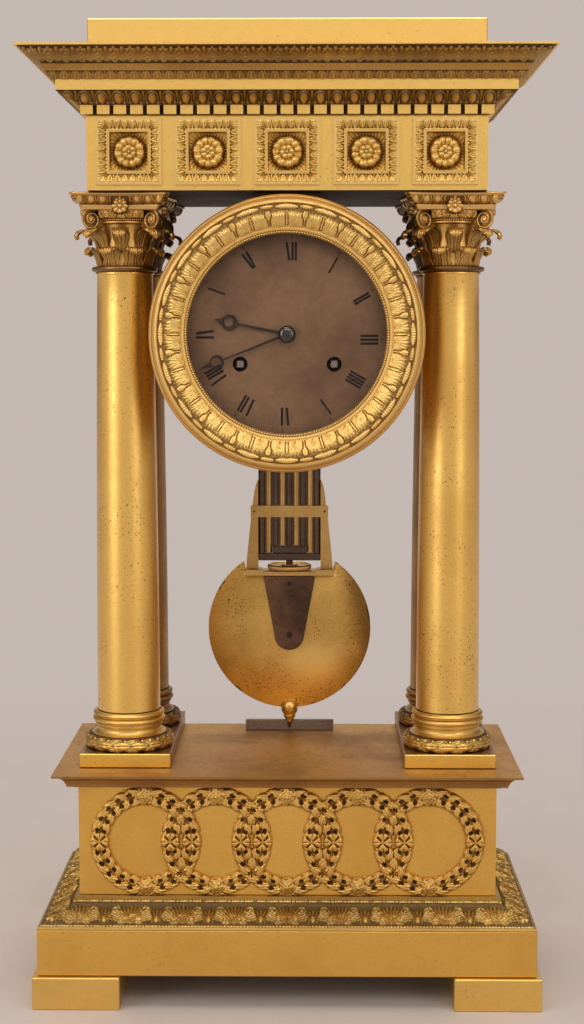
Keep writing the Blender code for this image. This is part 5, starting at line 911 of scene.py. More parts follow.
def coffer(x, z):
    """The height and tone of one coffer, in millimetres in front of the frieze."""
    side = np.maximum(np.abs(x), np.abs(z))
    along = np.where(np.abs(x) > np.abs(z), z, x)
    inward = 17.3 - side
    off = every(along, 4.327, 2.163)
    half = 2.05 * np.sqrt(np.clip(1 - (np.clip(inward, 0, 4.4) / 4.5) ** 2, 0, 1)) + 1e-6
    leaf = np.sqrt(np.clip(1 - (off / half) ** 2, 0, 1)) * (0.7 + 0.3 * np.cos(off / half * 9))
    leaf = leaf * np.clip(inward / 0.5, 0, 1)
    dart = np.exp(-((every(along, 4.327) / 0.30) ** 2)) * np.clip(inward / 4, 0, 1)
    frame = 1.35 - 0.28 * np.clip(inward, 0, 4.4) + 0.85 * np.maximum(leaf, dart)
    height = np.where(side > 17.3, 1.55, frame)
    tone = np.where(side > 17.3, 0.85, 0.12 + 0.78 * np.maximum(leaf, dart))
    height = np.where((side > 17.0) & (side < 17.3), 0.2, height)
    tone = np.where((side > 17.0) & (side < 17.3), 0.1, tone)
    height = np.where(side < 12.9, 0.25, height)
    tone = np.where(side < 12.9, 0.05, tone)
    height = np.where(side < 12.6, 0.95, height)
    tone = np.where(side < 12.6, 0.75, tone)
    far = np.hypot(x, z)
    place = np.arctan2(x, z)
    rib = 0.5 + 0.5 * np.cos(place * 36 + np.sin(far * 1.1))
    floor = -6.6 + 0.7 * rib + 1.2 * np.clip((far - 9) / 5, 0, 1)
    height = np.where(side < 10.7, floor, height)
    # The sunk field darkens towards the rosette, to black beside it: painted shade under its petals.
    tone = np.where(side < 10.7, np.clip((far - 7.5) / 6, 0, 1) * (0.45 + 0.30 * rib), tone)
    petal = np.abs(np.cos(place * 5.5 + 0.5 * np.sin(place * 2))) ** 0.7
    veins = 0.5 + 0.5 * np.cos(place * 44 + far * 1.5)
    outer = -3.2 + (1.5 + 1.2 * petal + 0.35 * veins) * np.sqrt(np.clip(1 - ((far - 6.4) / 2.7) ** 2, 0, 1))
    edge = 8.2 + 0.9 * petal
    height = np.where((far < edge) & (far > 3.4), outer, height)
    tone = np.where((far < edge) & (far > 3.4), 0.28 + 0.42 * petal + 0.22 * veins, tone)
    second = np.abs(np.cos(place * 3 + 0.4)) ** 0.5
    inner = -1.4 + (0.5 + 0.9 * second) * np.sqrt(np.clip(1 - ((far - 2.5) / 1.8) ** 2, 0, 1))
    height = np.where(far < 4.1, inner, height)
    tone = np.where(far < 4.1, 0.1 + 0.8 * second * np.clip(1 - np.abs(far - 2.6) / 2, 0, 1), tone)
    height = np.where(far < 0.9, 0.1, height)
    tone = np.where(far < 0.9, 0.8, tone)
    return height, tone


edge = np.arange(-18.7, 18.71, 0.34)
edge = np.concatenate([[-18.7], edge, [18.7]])
x, z = np.meshgrid(edge, edge)
height, tone = coffer(x, z)
for border in (height[0], height[-1], height[:, 0], height[:, -1]):
    border[:] = -0.5
spots = []
for i in range(5):
    low, high = span(f"coffer_{i + 1}")
    centre = (low + high) / 2000
    spot = Matrix.Translation((centre[0], frieze_front / 1000, centre[2])) @ UPRIGHT
    spot = spot @ Matrix.Rotation(math.radians((0, 180, 90, 270, 180)[i]), 4, "Z")
    spots.append((f"rosette_coffer_{i + 1}", spot, (f"coffer_{i + 1}",)))
cast("rosette_coffer", weave(np.stack([x, z, height], axis=-1), tone), chased, spots=spots, crease=60)

# The cornice is cast in lengths and mitred: dentils, egg and dart with one egg over each dentil, a
# plain corona, small leaves, a plain hollow, and a cyma of palmettes under a thin fillet.


def egg_and_dart(along, across):
    x = every(along, 9.45)
    far = np.hypot(x / 2.55, (across - 5.6) / 5.0)
    egg = np.sqrt(np.clip(1 - far**2, 0, 1)) * 1.6
    shell = np.exp(-(((far - 1.33) / 0.12) ** 2)) * 1.0
    aside = every(along, 9.45, 4.725)
    dart = np.clip(1 - np.abs(aside) / (0.30 + 0.09 * across), 0, 1) * np.clip(across / 2, 0, 1) * 0.9
    foot = 0.7 * beads(every(along, 3.15), across - 1.3, 1.1)
    return np.maximum.reduce([egg * (across > 1.8), shell * (across > 1.8), dart, foot]) * np.clip(across / 0.8, 0, 1)


def leaf_tips(along, across):
    """A row of small heart-shaped leaves with a midrib, and darts between them."""
    x = every(along, 6.5)
    half = 3.3 * np.clip(1 - (np.abs(across - 2.2) / 4.4) ** 2.4, 0, 1) + 1e-6
    off = x / half
    leaf = np.clip(1 - off**2, 0, 1) ** 0.5 * (0.72 + 0.28 * np.cos(off * 10))
    rib = np.exp(-((x / 0.28) ** 2)) * 1.05
    dart = np.exp(-((every(along, 6.5, 3.25) / 0.40) ** 2)) * np.clip(across / 3, 0, 1)
    height = np.maximum.reduce([leaf, rib * (np.abs(off) < 0.5), 0.8 * dart])
    return (0.08 + 0.95 * height) * np.clip(across / 0.5, 0, 1)


def cyma_palmettes(along, across):
    x = every(along, 9.0)
    between = every(along, 9.0, 4.5)
    wide = palmette(x, across - 1.0, 12.5, 7, 0.95, 0.62)
    thin = palmette(between, across - 5.0, 9.0, 3, 0.35, 0.8)
    foot = palmette(between, across - 0.2, 5.0, 3, 0.6, 0.7) * 0.8
    height = np.maximum.reduce([wide, thin * (wide < 0.15) * 0.9, foot * (wide < 0.3)])
    return height * np.clip(across / 0.6, 0, 1) * np.clip((14.8 - across) / 0.5, 0, 1)


low, high = span("cornice")
attic_low, attic_high = span("attic_slab")
frieze_low, frieze_high = span("frieze_box")
reach = high[0] - frieze_high[0]
tall = high[2] - low[2]


def level(*shares):
    return [(out * reach, up * tall) for out, up in shares]


egg_path = flow(level((0.10, 0.154), (0.12, 0.195), (0.21, 0.26), (0.40, 0.345), (0.427, 0.349)), 40)
leaf_path = flow(level((0.427, 0.52), (0.47, 0.55), (0.57, 0.627)), 20)
cyma_path = flow(level((0.62, 0.727), (0.66, 0.80), (0.74, 0.87), (0.88, 0.925), (0.955, 0.957)), 40)
plain_low = [(level((0, 0), (0, 0.15), (0.10, 0.154)), None)]
corona = [(level((0.427, 0.349), (0.427, 0.52)), None)]
hollow = [(level((0.57, 0.627), (0.58, 0.67), (0.60, 0.70), (0.62, 0.727)), None)]
fillet = [(level((0.955, 0.957), (0.995, 0.963), (0.995, 0.998)), None)]
ornament = [(egg_path, egg_and_dart), (leaf_path, leaf_tips), (cyma_path, cyma_palmettes)]
whole = (frieze_high[0], frieze_low[1], high[1], low[2])


def run_only(bands, inset=0.0):
    """The runs of a moulding without the flats that close its top and foot, set in from the back."""
    points, faces, relief = moulding(*whole[:2], whole[2] - inset, whole[3], bands, step=0.52)
    return points[:-8], faces[:-2], relief[:-8]


dark_relief = metal_finish("dark_relief_gilding", (0.52, 0.325, 0.092), (0.30, 0.17, 0.045), 0.42, 0.8, 0.5, 700.0,
                           hollow=(0.075, 0.034, 0.011), crest=(0.80, 0.53, 0.18), depth=0.93)
dull_gilding = metal_finish("dull_gilding", (0.56, 0.31, 0.075), (0.36, 0.18, 0.04), 0.42, 0.7, 0.5, 600.0)
cast("cornice_ground", moulding(*whole, plain_low + corona + fillet), bright_gilding, nodes=("cornice",))
cast("cornice_ornament", run_only(ornament), dark_relief)
cast("cornice_hollow", run_only(hollow), dull_gilding)
# The ground behind the dentils is the nearly black bronze: painted shade in the gaps between them.
cast("dentil_ground", run_only([(level((0.006, 0.004), (0.006, 0.15)), None)], 0.3), painted_shade_bronze)
teeth = []
pitch = 9.45
for i in range(25):
    x = (i - 12) * pitch
    teeth.append(block((x - 3.58, frieze_low[1] - 2.8, low[2] + 0.4), (x + 3.58, frieze_low[1] + 0.5, low[2] + 5.7)))
for side in (-1, 1):
    for i in range(1, 14):
        y = frieze_low[1] - 2.8 + 3.5 + i * pitch
        if y + 3.5 < high[1]:
            near_x, far_x = sorted((side * (frieze_high[0] - 0.5), side * (frieze_high[0] + 2.8)))
            teeth.append(block((near_x, y - 3.58, low[2] + 0.4), (far_x, y + 3.58, low[2] + 5.7)))
cast("dentils", gather(teeth), bright_gilding)

# The drum is a rolled brass tube with a turned flange in front, gilt outside. A saddle on its top is
# screwed to the soffit of the frieze.
drum_gilding = metal_finish("drum_gilding", (0.56, 0.31, 0.075), (0.36, 0.18, 0.04), 0.42, 0.7, 0.5, 600.0)
tree = drum_gilding.node_tree
skin = tree.nodes["Principled BSDF"]
# Near its top, under the frieze, the drum is painted nearly black: painted shade.
tall = wire(tree, "SeparateXYZ", {0: wire(tree, "TexCoord").outputs["Object"]}).outputs["Z"]
gilt = skin.inputs["Base Color"].links[0].from_socket
tree.links.new(mixed(tree, ramp(tree, tall, 0.4575, 0.4595), gilt, (0.07, 0.042, 0.028, 1)), skin.inputs["Base Color"])
dress(drum_gilding, "drum_case")

# The bezel is cast and turned, and hinged at the left. A plain rounded lip runs outside a hollow cast
# with twenty water leaves under turned-over tips, with darts between; then come a plain ring, a row of
# pearls, and the flat glass.


def bezel_leaves(angle, across):
    """Water leaves with a midrib, two shells of ribs and a turned-over tip, and a bud between each two."""
    y = LEAF_BAND - across
    cell = math.radians(18)
    x = every(angle, cell, math.pi / 2) * 66
    side = np.abs(x)
    shell = np.sqrt(np.clip(1 - ((side - 4.9) / 4.7) ** 2, 0, 1))
    wave = np.sin(y * 1.7 + angle * 31) + 0.8 * np.sin(x * 1.3 + angle * 17)
    rib = 0.5 + 0.5 * np.cos(np.arctan2(side - 4.6, y + 2.4) * 36 + 0.8 * wave)
    # Painted shade under the turned-over tips: there the leaves sink a little and darken.
    painted_shade_under_tip = np.clip((y - 7.4 + 0.10 * side) / 2.6, 0, 1)
    height = 0.2 + shell * (0.6 + 0.45 * rib) - 0.6 * painted_shade_under_tip
    tone = (0.34 + 0.16 * shell + 0.42 * rib) * (1 - 0.80 * painted_shade_under_tip)
    groove = np.exp(-(((side - 0.72) / 0.32) ** 2)) * (y < 8.6) * (y > 0.8)
    spine = (side < 0.40) & (y < 8.4) & (y > 1.0)
    height = np.where(spine, 0.9, height - 0.5 * groove)
    tone = np.where(spine, 0.95, tone * (1 - 0.8 * groove))
    tone = tone * (1 - 0.75 * np.exp(-((side / 1.2) ** 2) - ((y - 1.2) / 0.8) ** 2))
    aside = np.abs(every(angle, cell, math.pi / 2 + cell / 2) * 66)
    half = np.interp(y, [0.4, 1.5, 4.4, 5.6, 6.9, 8.6, 9.9], [0.20, 0.38, 0.48, 1.05, 1.70, 1.65, 1.1])
    between = (aside < half + 0.45) & (y > 0.5) & (y < 10.6)
    height = np.where(between, 0.0, height)
    tone = np.where(between, 0.10, tone)
    bud = np.sqrt(np.clip(1 - (aside / half) ** 2, 0, 1)) * (y > 0.5) * (y < 10.0)
    dimple = 0.5 + 0.5 * np.cos(y * 4.2) * (y > 5)
    height = np.where(bud > 0, 0.3 + 0.9 * bud, height)
    tone = np.where(bud > 0, (0.30 + 0.6 * bud) * (0.72 + 0.28 * dimple), tone)
    # The ground under the tips gets a very low tone: patina with painted shade.
    ground = y > 10.5
    height = np.where(ground, 0.0, height)
    tone = np.where(ground, 0.08, tone)
    notch = np.abs(np.cos(x * math.pi / 1.28)) ** 0.6
    thick = (1.25 + 0.25 * notch) * np.sqrt(np.clip(1 - (side / 6.1) ** 2, 0, 1)) + 1e-6
    crest = np.sqrt(np.clip(1 - ((y - 12.0 + 0.010 * x**2) / thick) ** 2, 0, 1))
    height = np.where(crest > 0, 0.5 + crest * (0.7 + 0.4 * notch), height)
    tone = np.where(crest > 0, 0.30 + 0.7 * notch * crest, tone)
    notch = np.abs(np.cos(aside * math.pi / 1.45)) ** 0.6
    thick = (0.95 + 0.2 * notch) * np.sqrt(np.clip(1 - (aside / 3.6) ** 2, 0, 1)) + 1e-6
    crest = np.sqrt(np.clip(1 - ((y - 12.2) / thick) ** 2, 0, 1))
    height = np.where(crest > 0, 0.3 + crest * (0.5 + 0.3 * notch), height)
    tone = np.where(crest > 0, 0.22 + 0.5 * notch * crest, tone)
    height = np.where(y < 0.4, 0.3, height)
    tone = np.where(y < 0.4, 0.7, tone)
    return height * np.clip((13.5 - y) / 0.3, 0, 1), np.where(y > 13.3, 0.05, tone)


def bezel_pearls(angle, across):
    bead = beads(every(angle, 2 * math.pi / 252) * 57.7, across - 0.75, 0.66)
    return 0.8 * bead, 0.0 + 1.0 * bead


low, high = span("bezel")
DIAL_Z = (low[2] + high[2]) / 2
lip_back = [(72.3, 0), (76.8, 0), (77.4, 3.9), (78.9, 6.3), (79.0, 9.3), (78.6, 11.4), (77.8, 13.1), (77.5, 13.2),
            (77.2, 12.7), (76.9, 13.3), (75.9, 15.9), (74.9, 16.8), (74.0, 16.9), (73.6, 16.3), (73.3, 15.4)]
band = [(73.3, 15.6), (71.0, 15.9), (66.6, 15.1), (62.6, 13.2), (60.7, 11.9)]
LEAF_BAND = sum(math.dist(a, b) for a, b in zip(band[:-1], band[1:]))
plain_ring = [(60.7, 11.9), (60.5, 12.2), (60.2, 12.3), (59.2, 12.3), (58.8, 12.0), (58.5, 11.6)]
seat = [(56.95, 11.6), (56.8, 11.0), (56.8, 10.4), (58.6, 10.3), (58.6, 8.8), (67.9, 8.8), (70.0, 0.05), (72.3, 0)]
pearl_path = [(58.5, 11.6), (56.95, 11.6)]
back = low[1] + 17.6
facing = Matrix.Translation((0, back / 1000, DIAL_Z / 1000)) @ UPRIGHT
lip_gilding = metal_finish("lip_gilding", (0.84, 0.585, 0.215), (0.74, 0.48, 0.15), 0.55, 0.4, 0.3, 620.0)
low_back = gather([turning(lip_back, 240), turning(plain_ring, 240), turning(seat, 240)])
knuckle = turning([(0, -2.5), (2.3, -2.5), (2.5, -2.3), (2.5, 2.3), (2.3, 2.5), (0, 2.5)], 24)
hinge = Matrix.Translation((-75.5, -40.545 - back, 0))
knuckle = shifted(knuckle, UPRIGHT.inverted() @ hinge)
cast("bezel_ring", gather([low_back, knuckle]), lip_gilding, "bezel", spots=[("bezel_ring", facing, ("bezel",))])
band_gilding = metal_finish("band_gilding", (0.88, 0.60, 0.18), (0.70, 0.44, 0.12), 0.40, 0.6, 0.35, 700.0,
                            hollow=(0.20, 0.10, 0.028), crest=(1.0, 0.76, 0.32), depth=0.9)
cast("bezel_leaf_band", turning(band, 1260, bezel_leaves, step=0.33), band_gilding, "bezel",
     spots=[("bezel_leaf_band", facing, ())], crease=60)
cast("bezel_pearls", turning(pearl_path, 2016, bezel_pearls, step=0.17), band_gilding, "bezel",
     spots=[("bezel_pearls", facing, ())], crease=60)

glass = bpy.data.materials.new("clear_flat_glass")
glass.use_nodes = True
tree = glass.node_tree
skin = tree.nodes["Principled BSDF"]
skin.inputs["Transmission Weight"].default_value = 1.0
skin.inputs["IOR"].default_value = 1.16
skin.inputs["Base Color"].default_value = (1, 1, 1, 1)
skin.inputs["Roughness"].default_value = 0.0
clear = wire(tree, "BsdfTransparent")
shadow = wire(tree, "LightPath").outputs["Is Shadow Ray"]
both = wire(tree, "MixShader", {0: shadow, 1: skin.outputs[0], 2: clear.outputs[0]})
tree.links.new(both.outputs[0], tree.nodes["Material Output"].inputs[0])
dress(glass, "bezel_glass")

# The dial is a silvered brass disc, tarnished brown. Its numerals and its minute marks are engraved and
# filled with black wax, and the thin strokes have nearly worn away.
silvering = metal_finish("tarnished_silvering", (0.235, 0.140, 0.080), (0.125, 0.070, 0.042), 0.55, 0.85, 0.35, 900.0,
                         coat=0.0, bump=0.02)
dress(silvering, "dial")


def stroke(start, end, width, narrow=None, low=-0.05, high=0.05):
    """A thin bar between two points of the dial, which can taper."""
    start, end = np.array(start, float), np.array(end, float)
    left = np.array([start[1] - end[1], end[0] - start[0]]) / np.hypot(*(end - start)) / 2
    first, last = left * width, left * (width if narrow is None else narrow)
    corners = [start - first, end - last, end + last, start + first]
    rings = np.array([[(*corner, height) for corner in corners] for height in (low, high)])
    points, faces, relief = weave(rings, wrap=True)
    return points, faces + [np.array([[4, 5, 6, 7]])], relief


def on_dial(degrees, outward, aside):
    """The point of the dial at this distance outward and aside from the ray at this clock angle."""
    turn = math.radians(degrees)
    return (outward * math.sin(turn) + aside * math.cos(turn), outward * math.cos(turn) - aside * math.sin(turn))


thick = {1: [(3.2, 3.2)], 2: [(2.9, 2.9), (4.6, 4.6)], 3: [(0.9, 0.9), (3.1, 3.1), (5.3, 5.3)],
         4: [(0, 0), (1.9, 1.9), (3.7, 3.7), (5.6, 5.6)], 5: [(1.0, 1.9)], 6: [(-0.6, 0.3), (3.1, 2.9)],
         7: [(-3.0, -2.1), (1.0, 1.0), (2.9, 2.9)], 8: [(-3.6, -2.6), (0.4, 0.4), (2.2, 2.2), (4.0, 4.0)],
         9: [(-1.8, -1.8), (0.4, 2.0)], 10: [(0.1, 2.0)], 11: [(0.4, 2.0), (3.2, 3.2)],
         12: [(-0.3, 1.3), (3.1, 3.1), (5.0, 4.9)]}
thin = {5: (3.5, 1.9), 6: (1.5, 0.3), 7: (-0.8, -2.1), 8: (-1.3, -2.6), 9: (2.1, 0.3), 10: (2.1, 0.0),
        11: (2.1, 0.3), 12: (1.4, -0.4)}
marks = []
for hour, lines in thick.items():
    for top, foot in lines:
        wide = 1.1 if len(lines) == 1 else 1.4
        marks.append(stroke(on_dial(hour * 30, 52.4, top), on_dial(hour * 30, 42.1, foot), wide))
for hour, (top, foot) in thin.items():
    marks.append(stroke(on_dial(hour * 30, 52.4, top), on_dial(hour * 30, 42.1, foot), 0.13))
for minute in range(60):
    ray = minute * 6 + 2.9
    reach, wide = ((56.0, 0.42) if minute % 5 == 0 else (55.4, 0.16))
    marks.append(stroke(on_dial(ray, 53.9, 0), on_dial(ray, reach, 0), wide))
black_wax = metal_finish("black_wax", (0.008, 0.006, 0.005), (0.02, 0.014, 0.010), 0.75, 0.6, 0.3, 900.0, coat=0.0)
black_wax.node_tree.nodes["Principled BSDF"].inputs["Metallic"].default_value = 0.0
black_wax.node_tree.nodes["Principled BSDF"].inputs["Specular IOR Level"].default_value = 0.15
dial_low, dial_high = span("dial")
face = Matrix.Translation((0, dial_low[1] / 1000, DIAL_Z / 1000)) @ UPRIGHT
cast("numerals", gather(marks), black_wax, spots=[("numerals", face, ())])

# The moon hands are filed from thin steel that has gone dark. A polished steel cap closes the arbor, and
# the two winding squares stand in their holes.
dark_steel = metal_finish("dark_steel", (0.052, 0.038, 0.030), (0.028, 0.020, 0.016), 0.36, 0.8, 0.7, 700.0,
                          speck_colour=(0.10, 0.045, 0.02))
# The polished steel is coloured near black: a painted dark reflection of the room in front of the clock.
polished_painted_dark = metal_finish("polished_steel", (0.085, 0.08, 0.075), (0.06, 0.055, 0.05), 0.07, 0.3, 0.0, 900.0, bump=0.0)
ground_steel = metal_finish("ground_steel", (0.27, 0.225, 0.20), (0.17, 0.14, 0.125), 0.30, 0.5, 0.3, 900.0)


def hand(length, reach, radius, hub, stem, thick, degrees, pipe, depth):
    """A flat moon hand on its pipe, that points along this clock angle, with its back face at height 0."""
    turn = np.linspace(0, 2 * math.pi, 56, endpoint=False)
    hole, aside = radius * 0.66, radius * 0.12
    rings = []
    for size, shift, height in ((radius, 0, 0), (radius, 0, 0.75), (radius - 0.2, 0, 1), (hole + 0.15, aside, 1),
                                (hole, aside, 0.75), (hole, aside, 0), (radius, 0, 0)):
        rings.append(np.stack([size * np.cos(turn), reach + shift + size * np.sin(turn), height * thick + 0 * turn],
                              axis=-1))
    disc = turning([(hub, 0), (hub, thick * 0.75), (hub - 0.25, thick), (0.02, thick)], 48)
    shank = stroke((0, hub * 0.8), (0, reach - radius + 0.25), stem, stem * 0.6, 0, thick)
    point = stroke((0, reach + radius - 0.35), (0, length), radius * 0.75, 0.1, 0, thick)
    tube = turning([(pipe, -depth), (pipe, 0), (hub, 0)], 32)
    whole = gather([weave(np.array(rings), wrap=True), disc, shank, point, tube])
    return shifted(whole, Matrix.Rotation(-math.radians(degrees), 4, "Z"))


for name, body, pipe, sizes in (("hour_hand", "hour", 2.7, (42.6, 33.8, 4.5, 4.2, 1.9, 0.8, 281.6)),
                                ("minute_hand", "minute", 1.6, (54.2, 43.3, 4.1, 3.6, 1.5, 0.8, 248.4))):
    low, high = span(name)
    spot = Matrix.Translation((0, (low[1] + 0.8) / 1000, DIAL_Z / 1000)) @ UPRIGHT
    shape = hand(*sizes, pipe, max(high[1] - low[1] - 0.8, 0.05))
    cast("moon_" + name, shape, dark_steel, body, spots=[("moon_" + name, spot, (name,))])
dress(polished_painted_dark, "centre_arbor")
dress(ground_steel, "going_winding_arbor", "strike_winding_arbor")
low, high = span("centre_arbor")
cap = [(4.9, 0), (5.0, 0.5), (4.95, 1.2), (4.6, 2.1), (3.9, 2.8), (2.8, 3.3), (1.4, 3.55), (0.02, 3.6)]
spot = Matrix.Translation((0, (low[1] + 3.4) / 1000, DIAL_Z / 1000)) @ UPRIGHT
cast("arbor_cap", turning(cap, 64), polished_painted_dark, "minute", spots=[("arbor_cap", spot, ())])

# The movement sits between two brass plates in the drum: spring barrels with their great wheels, the
# count wheel and a bell metal bell behind, and the hammer and the anchor of steel.
works = metal_finish("works_brass", (0.62, 0.40, 0.145), (0.40, 0.235, 0.08), 0.30, 0.7, 0.4, 640.0)
bell_metal = metal_finish("bell_metal", (0.60, 0.46, 0.25), (0.36, 0.25, 0.12), 0.24, 0.7, 0.3, 640.0)
# The brass front plate takes the nearly black bronze: painted shade behind the winding holes.
dress(painted_shade_bronze, "front_plate")
dress(works, "back_plate", "going_barrel", "strike_barrel", "count_wheel")
dress(bell_metal, "bell")
dress(dark_steel, "hammer", "anchor_crutch")

# The pendulum is a gridiron of nine rods, steel and brass in turn, whose lengths make up for the heat.
# Its rods are pinned into flat cross bars, and the steel has pitted.
pitted_steel = metal_finish("pitted_steel", (0.125, 0.080, 0.056), (0.045, 0.027, 0.019), 0.30, 0.95, 1.0, 900.0,
                            speck_colour=(0.22, 0.17, 0.13), bump=0.25)
rod_brass = metal_finish("rod_brass", (0.60, 0.37, 0.12), (0.36, 0.20, 0.06), 0.32, 0.7, 0.7, 640.0)
low, high = span("gridiron_steel_outer")
GRID_Y = (low[1] + high[1]) / 2


def rod(x, low, high, radius=2.19):
    ends = [(0.02, low), (radius - 0.15, low), (radius, low + 0.15), (radius, high - 0.15), (radius - 0.15, high),
            (0.02, high)]
    return turning(ends, 28, centre=(x, GRID_Y, 0))


def bar(half, low, high, deep=3.0):
    return block((-half, GRID_Y - deep, low), (half, GRID_Y + deep, high), 0.3)


for name, finish, places, cross in (
    ("gridiron_steel_outer", pitted_steel, 17.72, (0, 1)), ("gridiron_brass_outer", rod_brass, 13.29, (1,)),
    ("gridiron_steel_inner", pitted_steel, 8.86, (0,)), ("gridiron_brass_inner", rod_brass, 4.43, (1,)),
    ("gridiron_centre_rod", pitted_steel, 0.0, ())):
    low, high = span(name)
    top = high[2] if name != "gridiron_steel_outer" else 419.0
    shape = [rod(x, low[2], top) for x in sorted({-places, places})]
    half = (high[0] - low[0]) / 2
    if 0 in cross:
        shape.append(bar(half, low[2], low[2] + 4.5))
    if 1 in cross:
        shape.append(bar(half, top - 4.5, top))
    if name == "gridiron_steel_outer":
        shape.append(block((-4.5, GRID_Y - 0.8, 418.8), (4.5, GRID_Y + 0.8, high[2]), 0.3))
    cast(name + "_rods", gather(shape), finish, "pendulum", (name,))

# Below it hang the brass cheeks with their tie strip, the yoke, the round rating nut, the steel tongue
# that is screwed to the bob, the bob of two brass shells over lead, and its pointed finial.
satin_brass = metal_finish("satin_brass", (0.66, 0.42, 0.14), (0.46, 0.27, 0.08), 0.40, 0.6, 0.35, 500.0)
bob_gilding = metal_finish("bob_gilding", (0.84, 0.53, 0.14), (0.54, 0.31, 0.07), 0.29, 0.8, 1.0, 900.0,
                           hollow=(0.09, 0.04, 0.015), crest=(1.0, 0.74, 0.27), depth=0.9,
                           share=0.055)
tongue_steel = metal_finish("tongue_steel", (0.205, 0.105, 0.058), (0.085, 0.045, 0.027), 0.50, 1.2, 1.0, 420.0,
                            speck_colour=(0.015, 0.01, 0.008), share=0.03)
dress(satin_brass, "cheek_frame")
dress(tongue_steel, "pendulum_tongue")
low, high = span("pendulum_bob")
bob_centre = Vector((0, (low[1] + high[1]) / 2000, (low[2] + 52.0) / 1000))
yoke_low, yoke_high = span("pendulum_yoke")


def bob_shell(side):
    radii = np.concatenate([np.linspace(0.05, 50, 50), [50.6, 51.2, 51.6, 51.9, 52.0, 52.0]])
    angle, radius = np.meshgrid(np.linspace(0, 2 * math.pi, 180, endpoint=False), radii)
    swell = 0.7 + 6.05 * (1 - (radius / 52.0) ** 2.3)
    swell[-1] = 0
    x = side * radius * np.sin(angle)
    z = radius * np.cos(angle)
    z = np.where(np.abs(x) < 28.9, np.minimum(z, 34.6 - 0.02 * (6.8 - swell)), z)
    rng = np.random.default_rng(5 + side)
    worn = rng.random(angle.shape) + 0.5 * np.roll(rng.random(angle.shape), 1, axis=1)
    chips = (radius > 50.8) & (np.sin(angle * 5 + 1) + np.sin(angle * 13 + 2) + worn > 2.1)
    # The right rim of both shells is darker, tarnish with painted shade; the front shell has a painted highlight low on
    # its right.
    tarnish_shade_and_highlight = 0.62 - 0.40 * np.clip((x - 30 + 0.25 * z) / 18, 0, 1) * (z > -30)
    tarnish_shade_and_highlight = tarnish_shade_and_highlight + 0.38 * np.exp(-(((x - 16) / 20) ** 2) - ((z + 24) / 15) ** 2) * (side > 0)
    return weave(np.stack([x, z, side * swell], axis=-1), np.where(chips, 0.0, tarnish_shade_and_highlight), wrap=True)


spot = Matrix.Translation(bob_centre) @ UPRIGHT
cast("bob_shells", gather([bob_shell(1), bob_shell(-1)]), bob_gilding, "bob_carriage",
     spots=[("bob_shells", spot, ("pendulum_bob",))])
low, high = span("pendulum_finial")
ball_z = 152.5
finial = [(1.5, 158.4), (3.0, 158.0), (4.6, 156.4), (5.5, 154.2), (5.65, 152.5), (5.4, 150.6), (4.6, 149.0), (3.5, 147.8),
          (3.4, 147.5), (4.2, 147.2), (4.2, 146.9), (3.0, 145.6), (2.2, 143.8), (2.1, 143.2), (1.2, 143.0)][::-1]
needle = [(0.02, low[2]), (0.5, low[2] + 1.2), (1.3, 141.5), (1.3, 143.4), (0.02, 143.4)]
centre = (0, (low[1] + high[1]) / 2, 0)
cast("finial_ball", turning(finial, 64, centre=centre), bob_gilding, "bob_carriage", ("pendulum_finial",))
cast("finial_needle", turning(needle, 24, centre=centre), pitted_steel, "bob_carriage")


def screw_head(angle, radius):
    """A low round head with a slot across it."""
    cut = np.abs(radius * np.sin(angle - 0.7)) < 0.35
    height = np.where(radius > 1.95, -0.2, 0.55 * np.sqrt(np.clip(1 - (radius / 2.6) ** 2, 0, 1)))
    return np.where(cut & (radius < 1.95), 0.05, height), np.where(cut, 0.0, 0.7)


low, high = span("pendulum_tongue")
spot = Matrix.Translation((0, low[1] / 1000, (low[2] + 10.0) / 1000)) @ UPRIGHT
cast("tongue_screw", polar(np.linspace(0.02, 2.1, 14), 60, screw_head), dark_steel, "bob_carriage",
     spots=[("tongue_screw", spot, ())], crease=30)


def pin_head(angle, radius):
    return np.where(radius > 0.75, -0.2, 0.1 + 0 * radius), np.zeros(radius.shape)


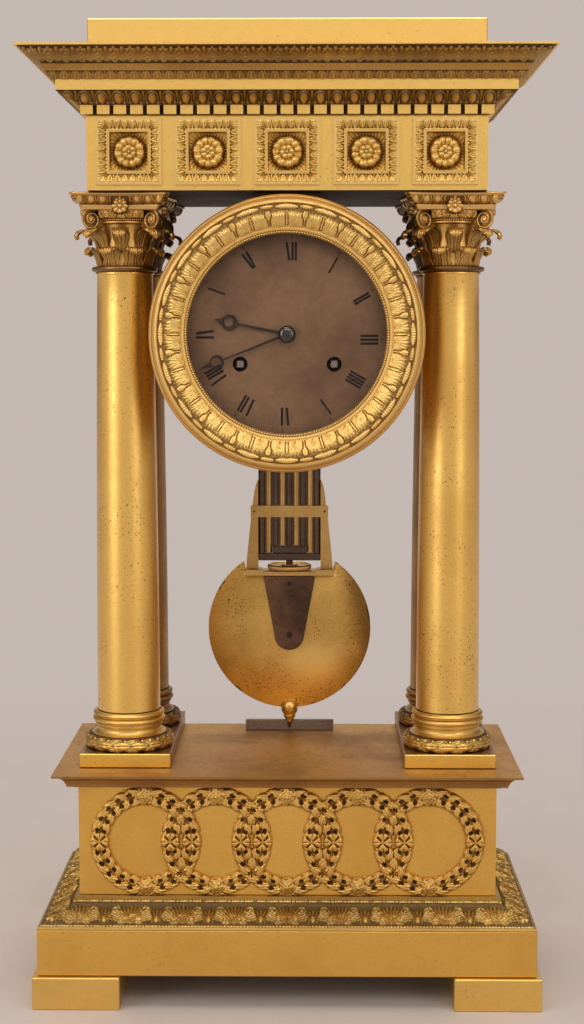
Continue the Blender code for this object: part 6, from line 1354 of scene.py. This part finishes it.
low, high = span("cheek_frame")
spots = []
tie_z = low[2] + 0.65 * (high[2] - low[2])
for side in (-1, 1):
    spot = Matrix.Translation((side * 0.0224, low[1] / 1000, tie_z / 1000)) @ UPRIGHT
    spots.append((f"tie_pin_{'left' if side < 0 else 'right'}", spot, ()))
tongue_low, tongue_high = span("pendulum_tongue")
# A dark disc sits in the hole near the top of the tongue: painted shade in the hole.
spots.append(("tongue_peg", Matrix.Translation((0, tongue_low[1] / 1000, (tongue_high[2] - 4.4) / 1000)) @ UPRIGHT @
              Matrix.Scale(1.9, 4), ()))
cast("tie_pin", polar(np.linspace(0.02, 0.8, 5), 20, pin_head), dark_steel, "bob_carriage", spots=spots)

low, high = span("pendulum_yoke")
ends = [block((side * 23 - 5.5, low[1], low[2]), (side * 23 + 5.5, high[1], high[2]), 0.35) for side in (-1, 1)]
middle = block((-18, low[1] + 0.5, low[2] + 0.1), (18, high[1] - 0.5, high[2] - 0.7), 0.3)
ends += [block((side * 22.2 - 5.6, low[1] - 0.35, low[2] + 0.2), (side * 22.2 + 5.6, low[1] + 0.6, high[2] + 0.5), 0.3)
         for side in (-1, 1)]
cast("yoke_bar", gather(ends + [middle]), satin_brass, "bob_carriage", ("pendulum_yoke",))


def knurls(angle, across):
    return 0.22 * np.abs(np.sin(angle * 60)) * np.clip(across / 0.5, 0, 1) * np.clip((2.9 - across) / 0.5, 0, 1)


low, high = span("rating_nut")
centre = tuple((low[:2] + high[:2]) / 2) + (low[2],)
rim = turning([(13.0, 0), (13.7, 0.3), (13.85, 1.0), (13.85, 1.9), (13.6, 2.5), (13.1, 2.8)], 720, knurls, centre, 0.35)
inside = turning([(13.1, 2.8), (12.5, 2.6), (12.1, 2.0), (6.0, 1.9), (5.6, 2.2), (5.3, 2.75), (2.2, 2.8), (2.2, 0.05),
                  (13.0, 0)], 96, centre=centre)
cast("nut_disc", gather([rim, inside]), bob_gilding, "rating_nut", ("rating_nut",))

# The beat bar is a thin steel strip that stands on the plinth behind the needle.
low, high = span("beat_bar")
steel_strip = metal_finish("steel_strip", (0.27, 0.235, 0.205), (0.10, 0.08, 0.068), 0.42, 0.9, 0.8, 700.0)
cast("steel_beat_bar", block(low, high, 0.45), steel_strip, nodes=("beat_bar",))

low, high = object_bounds()
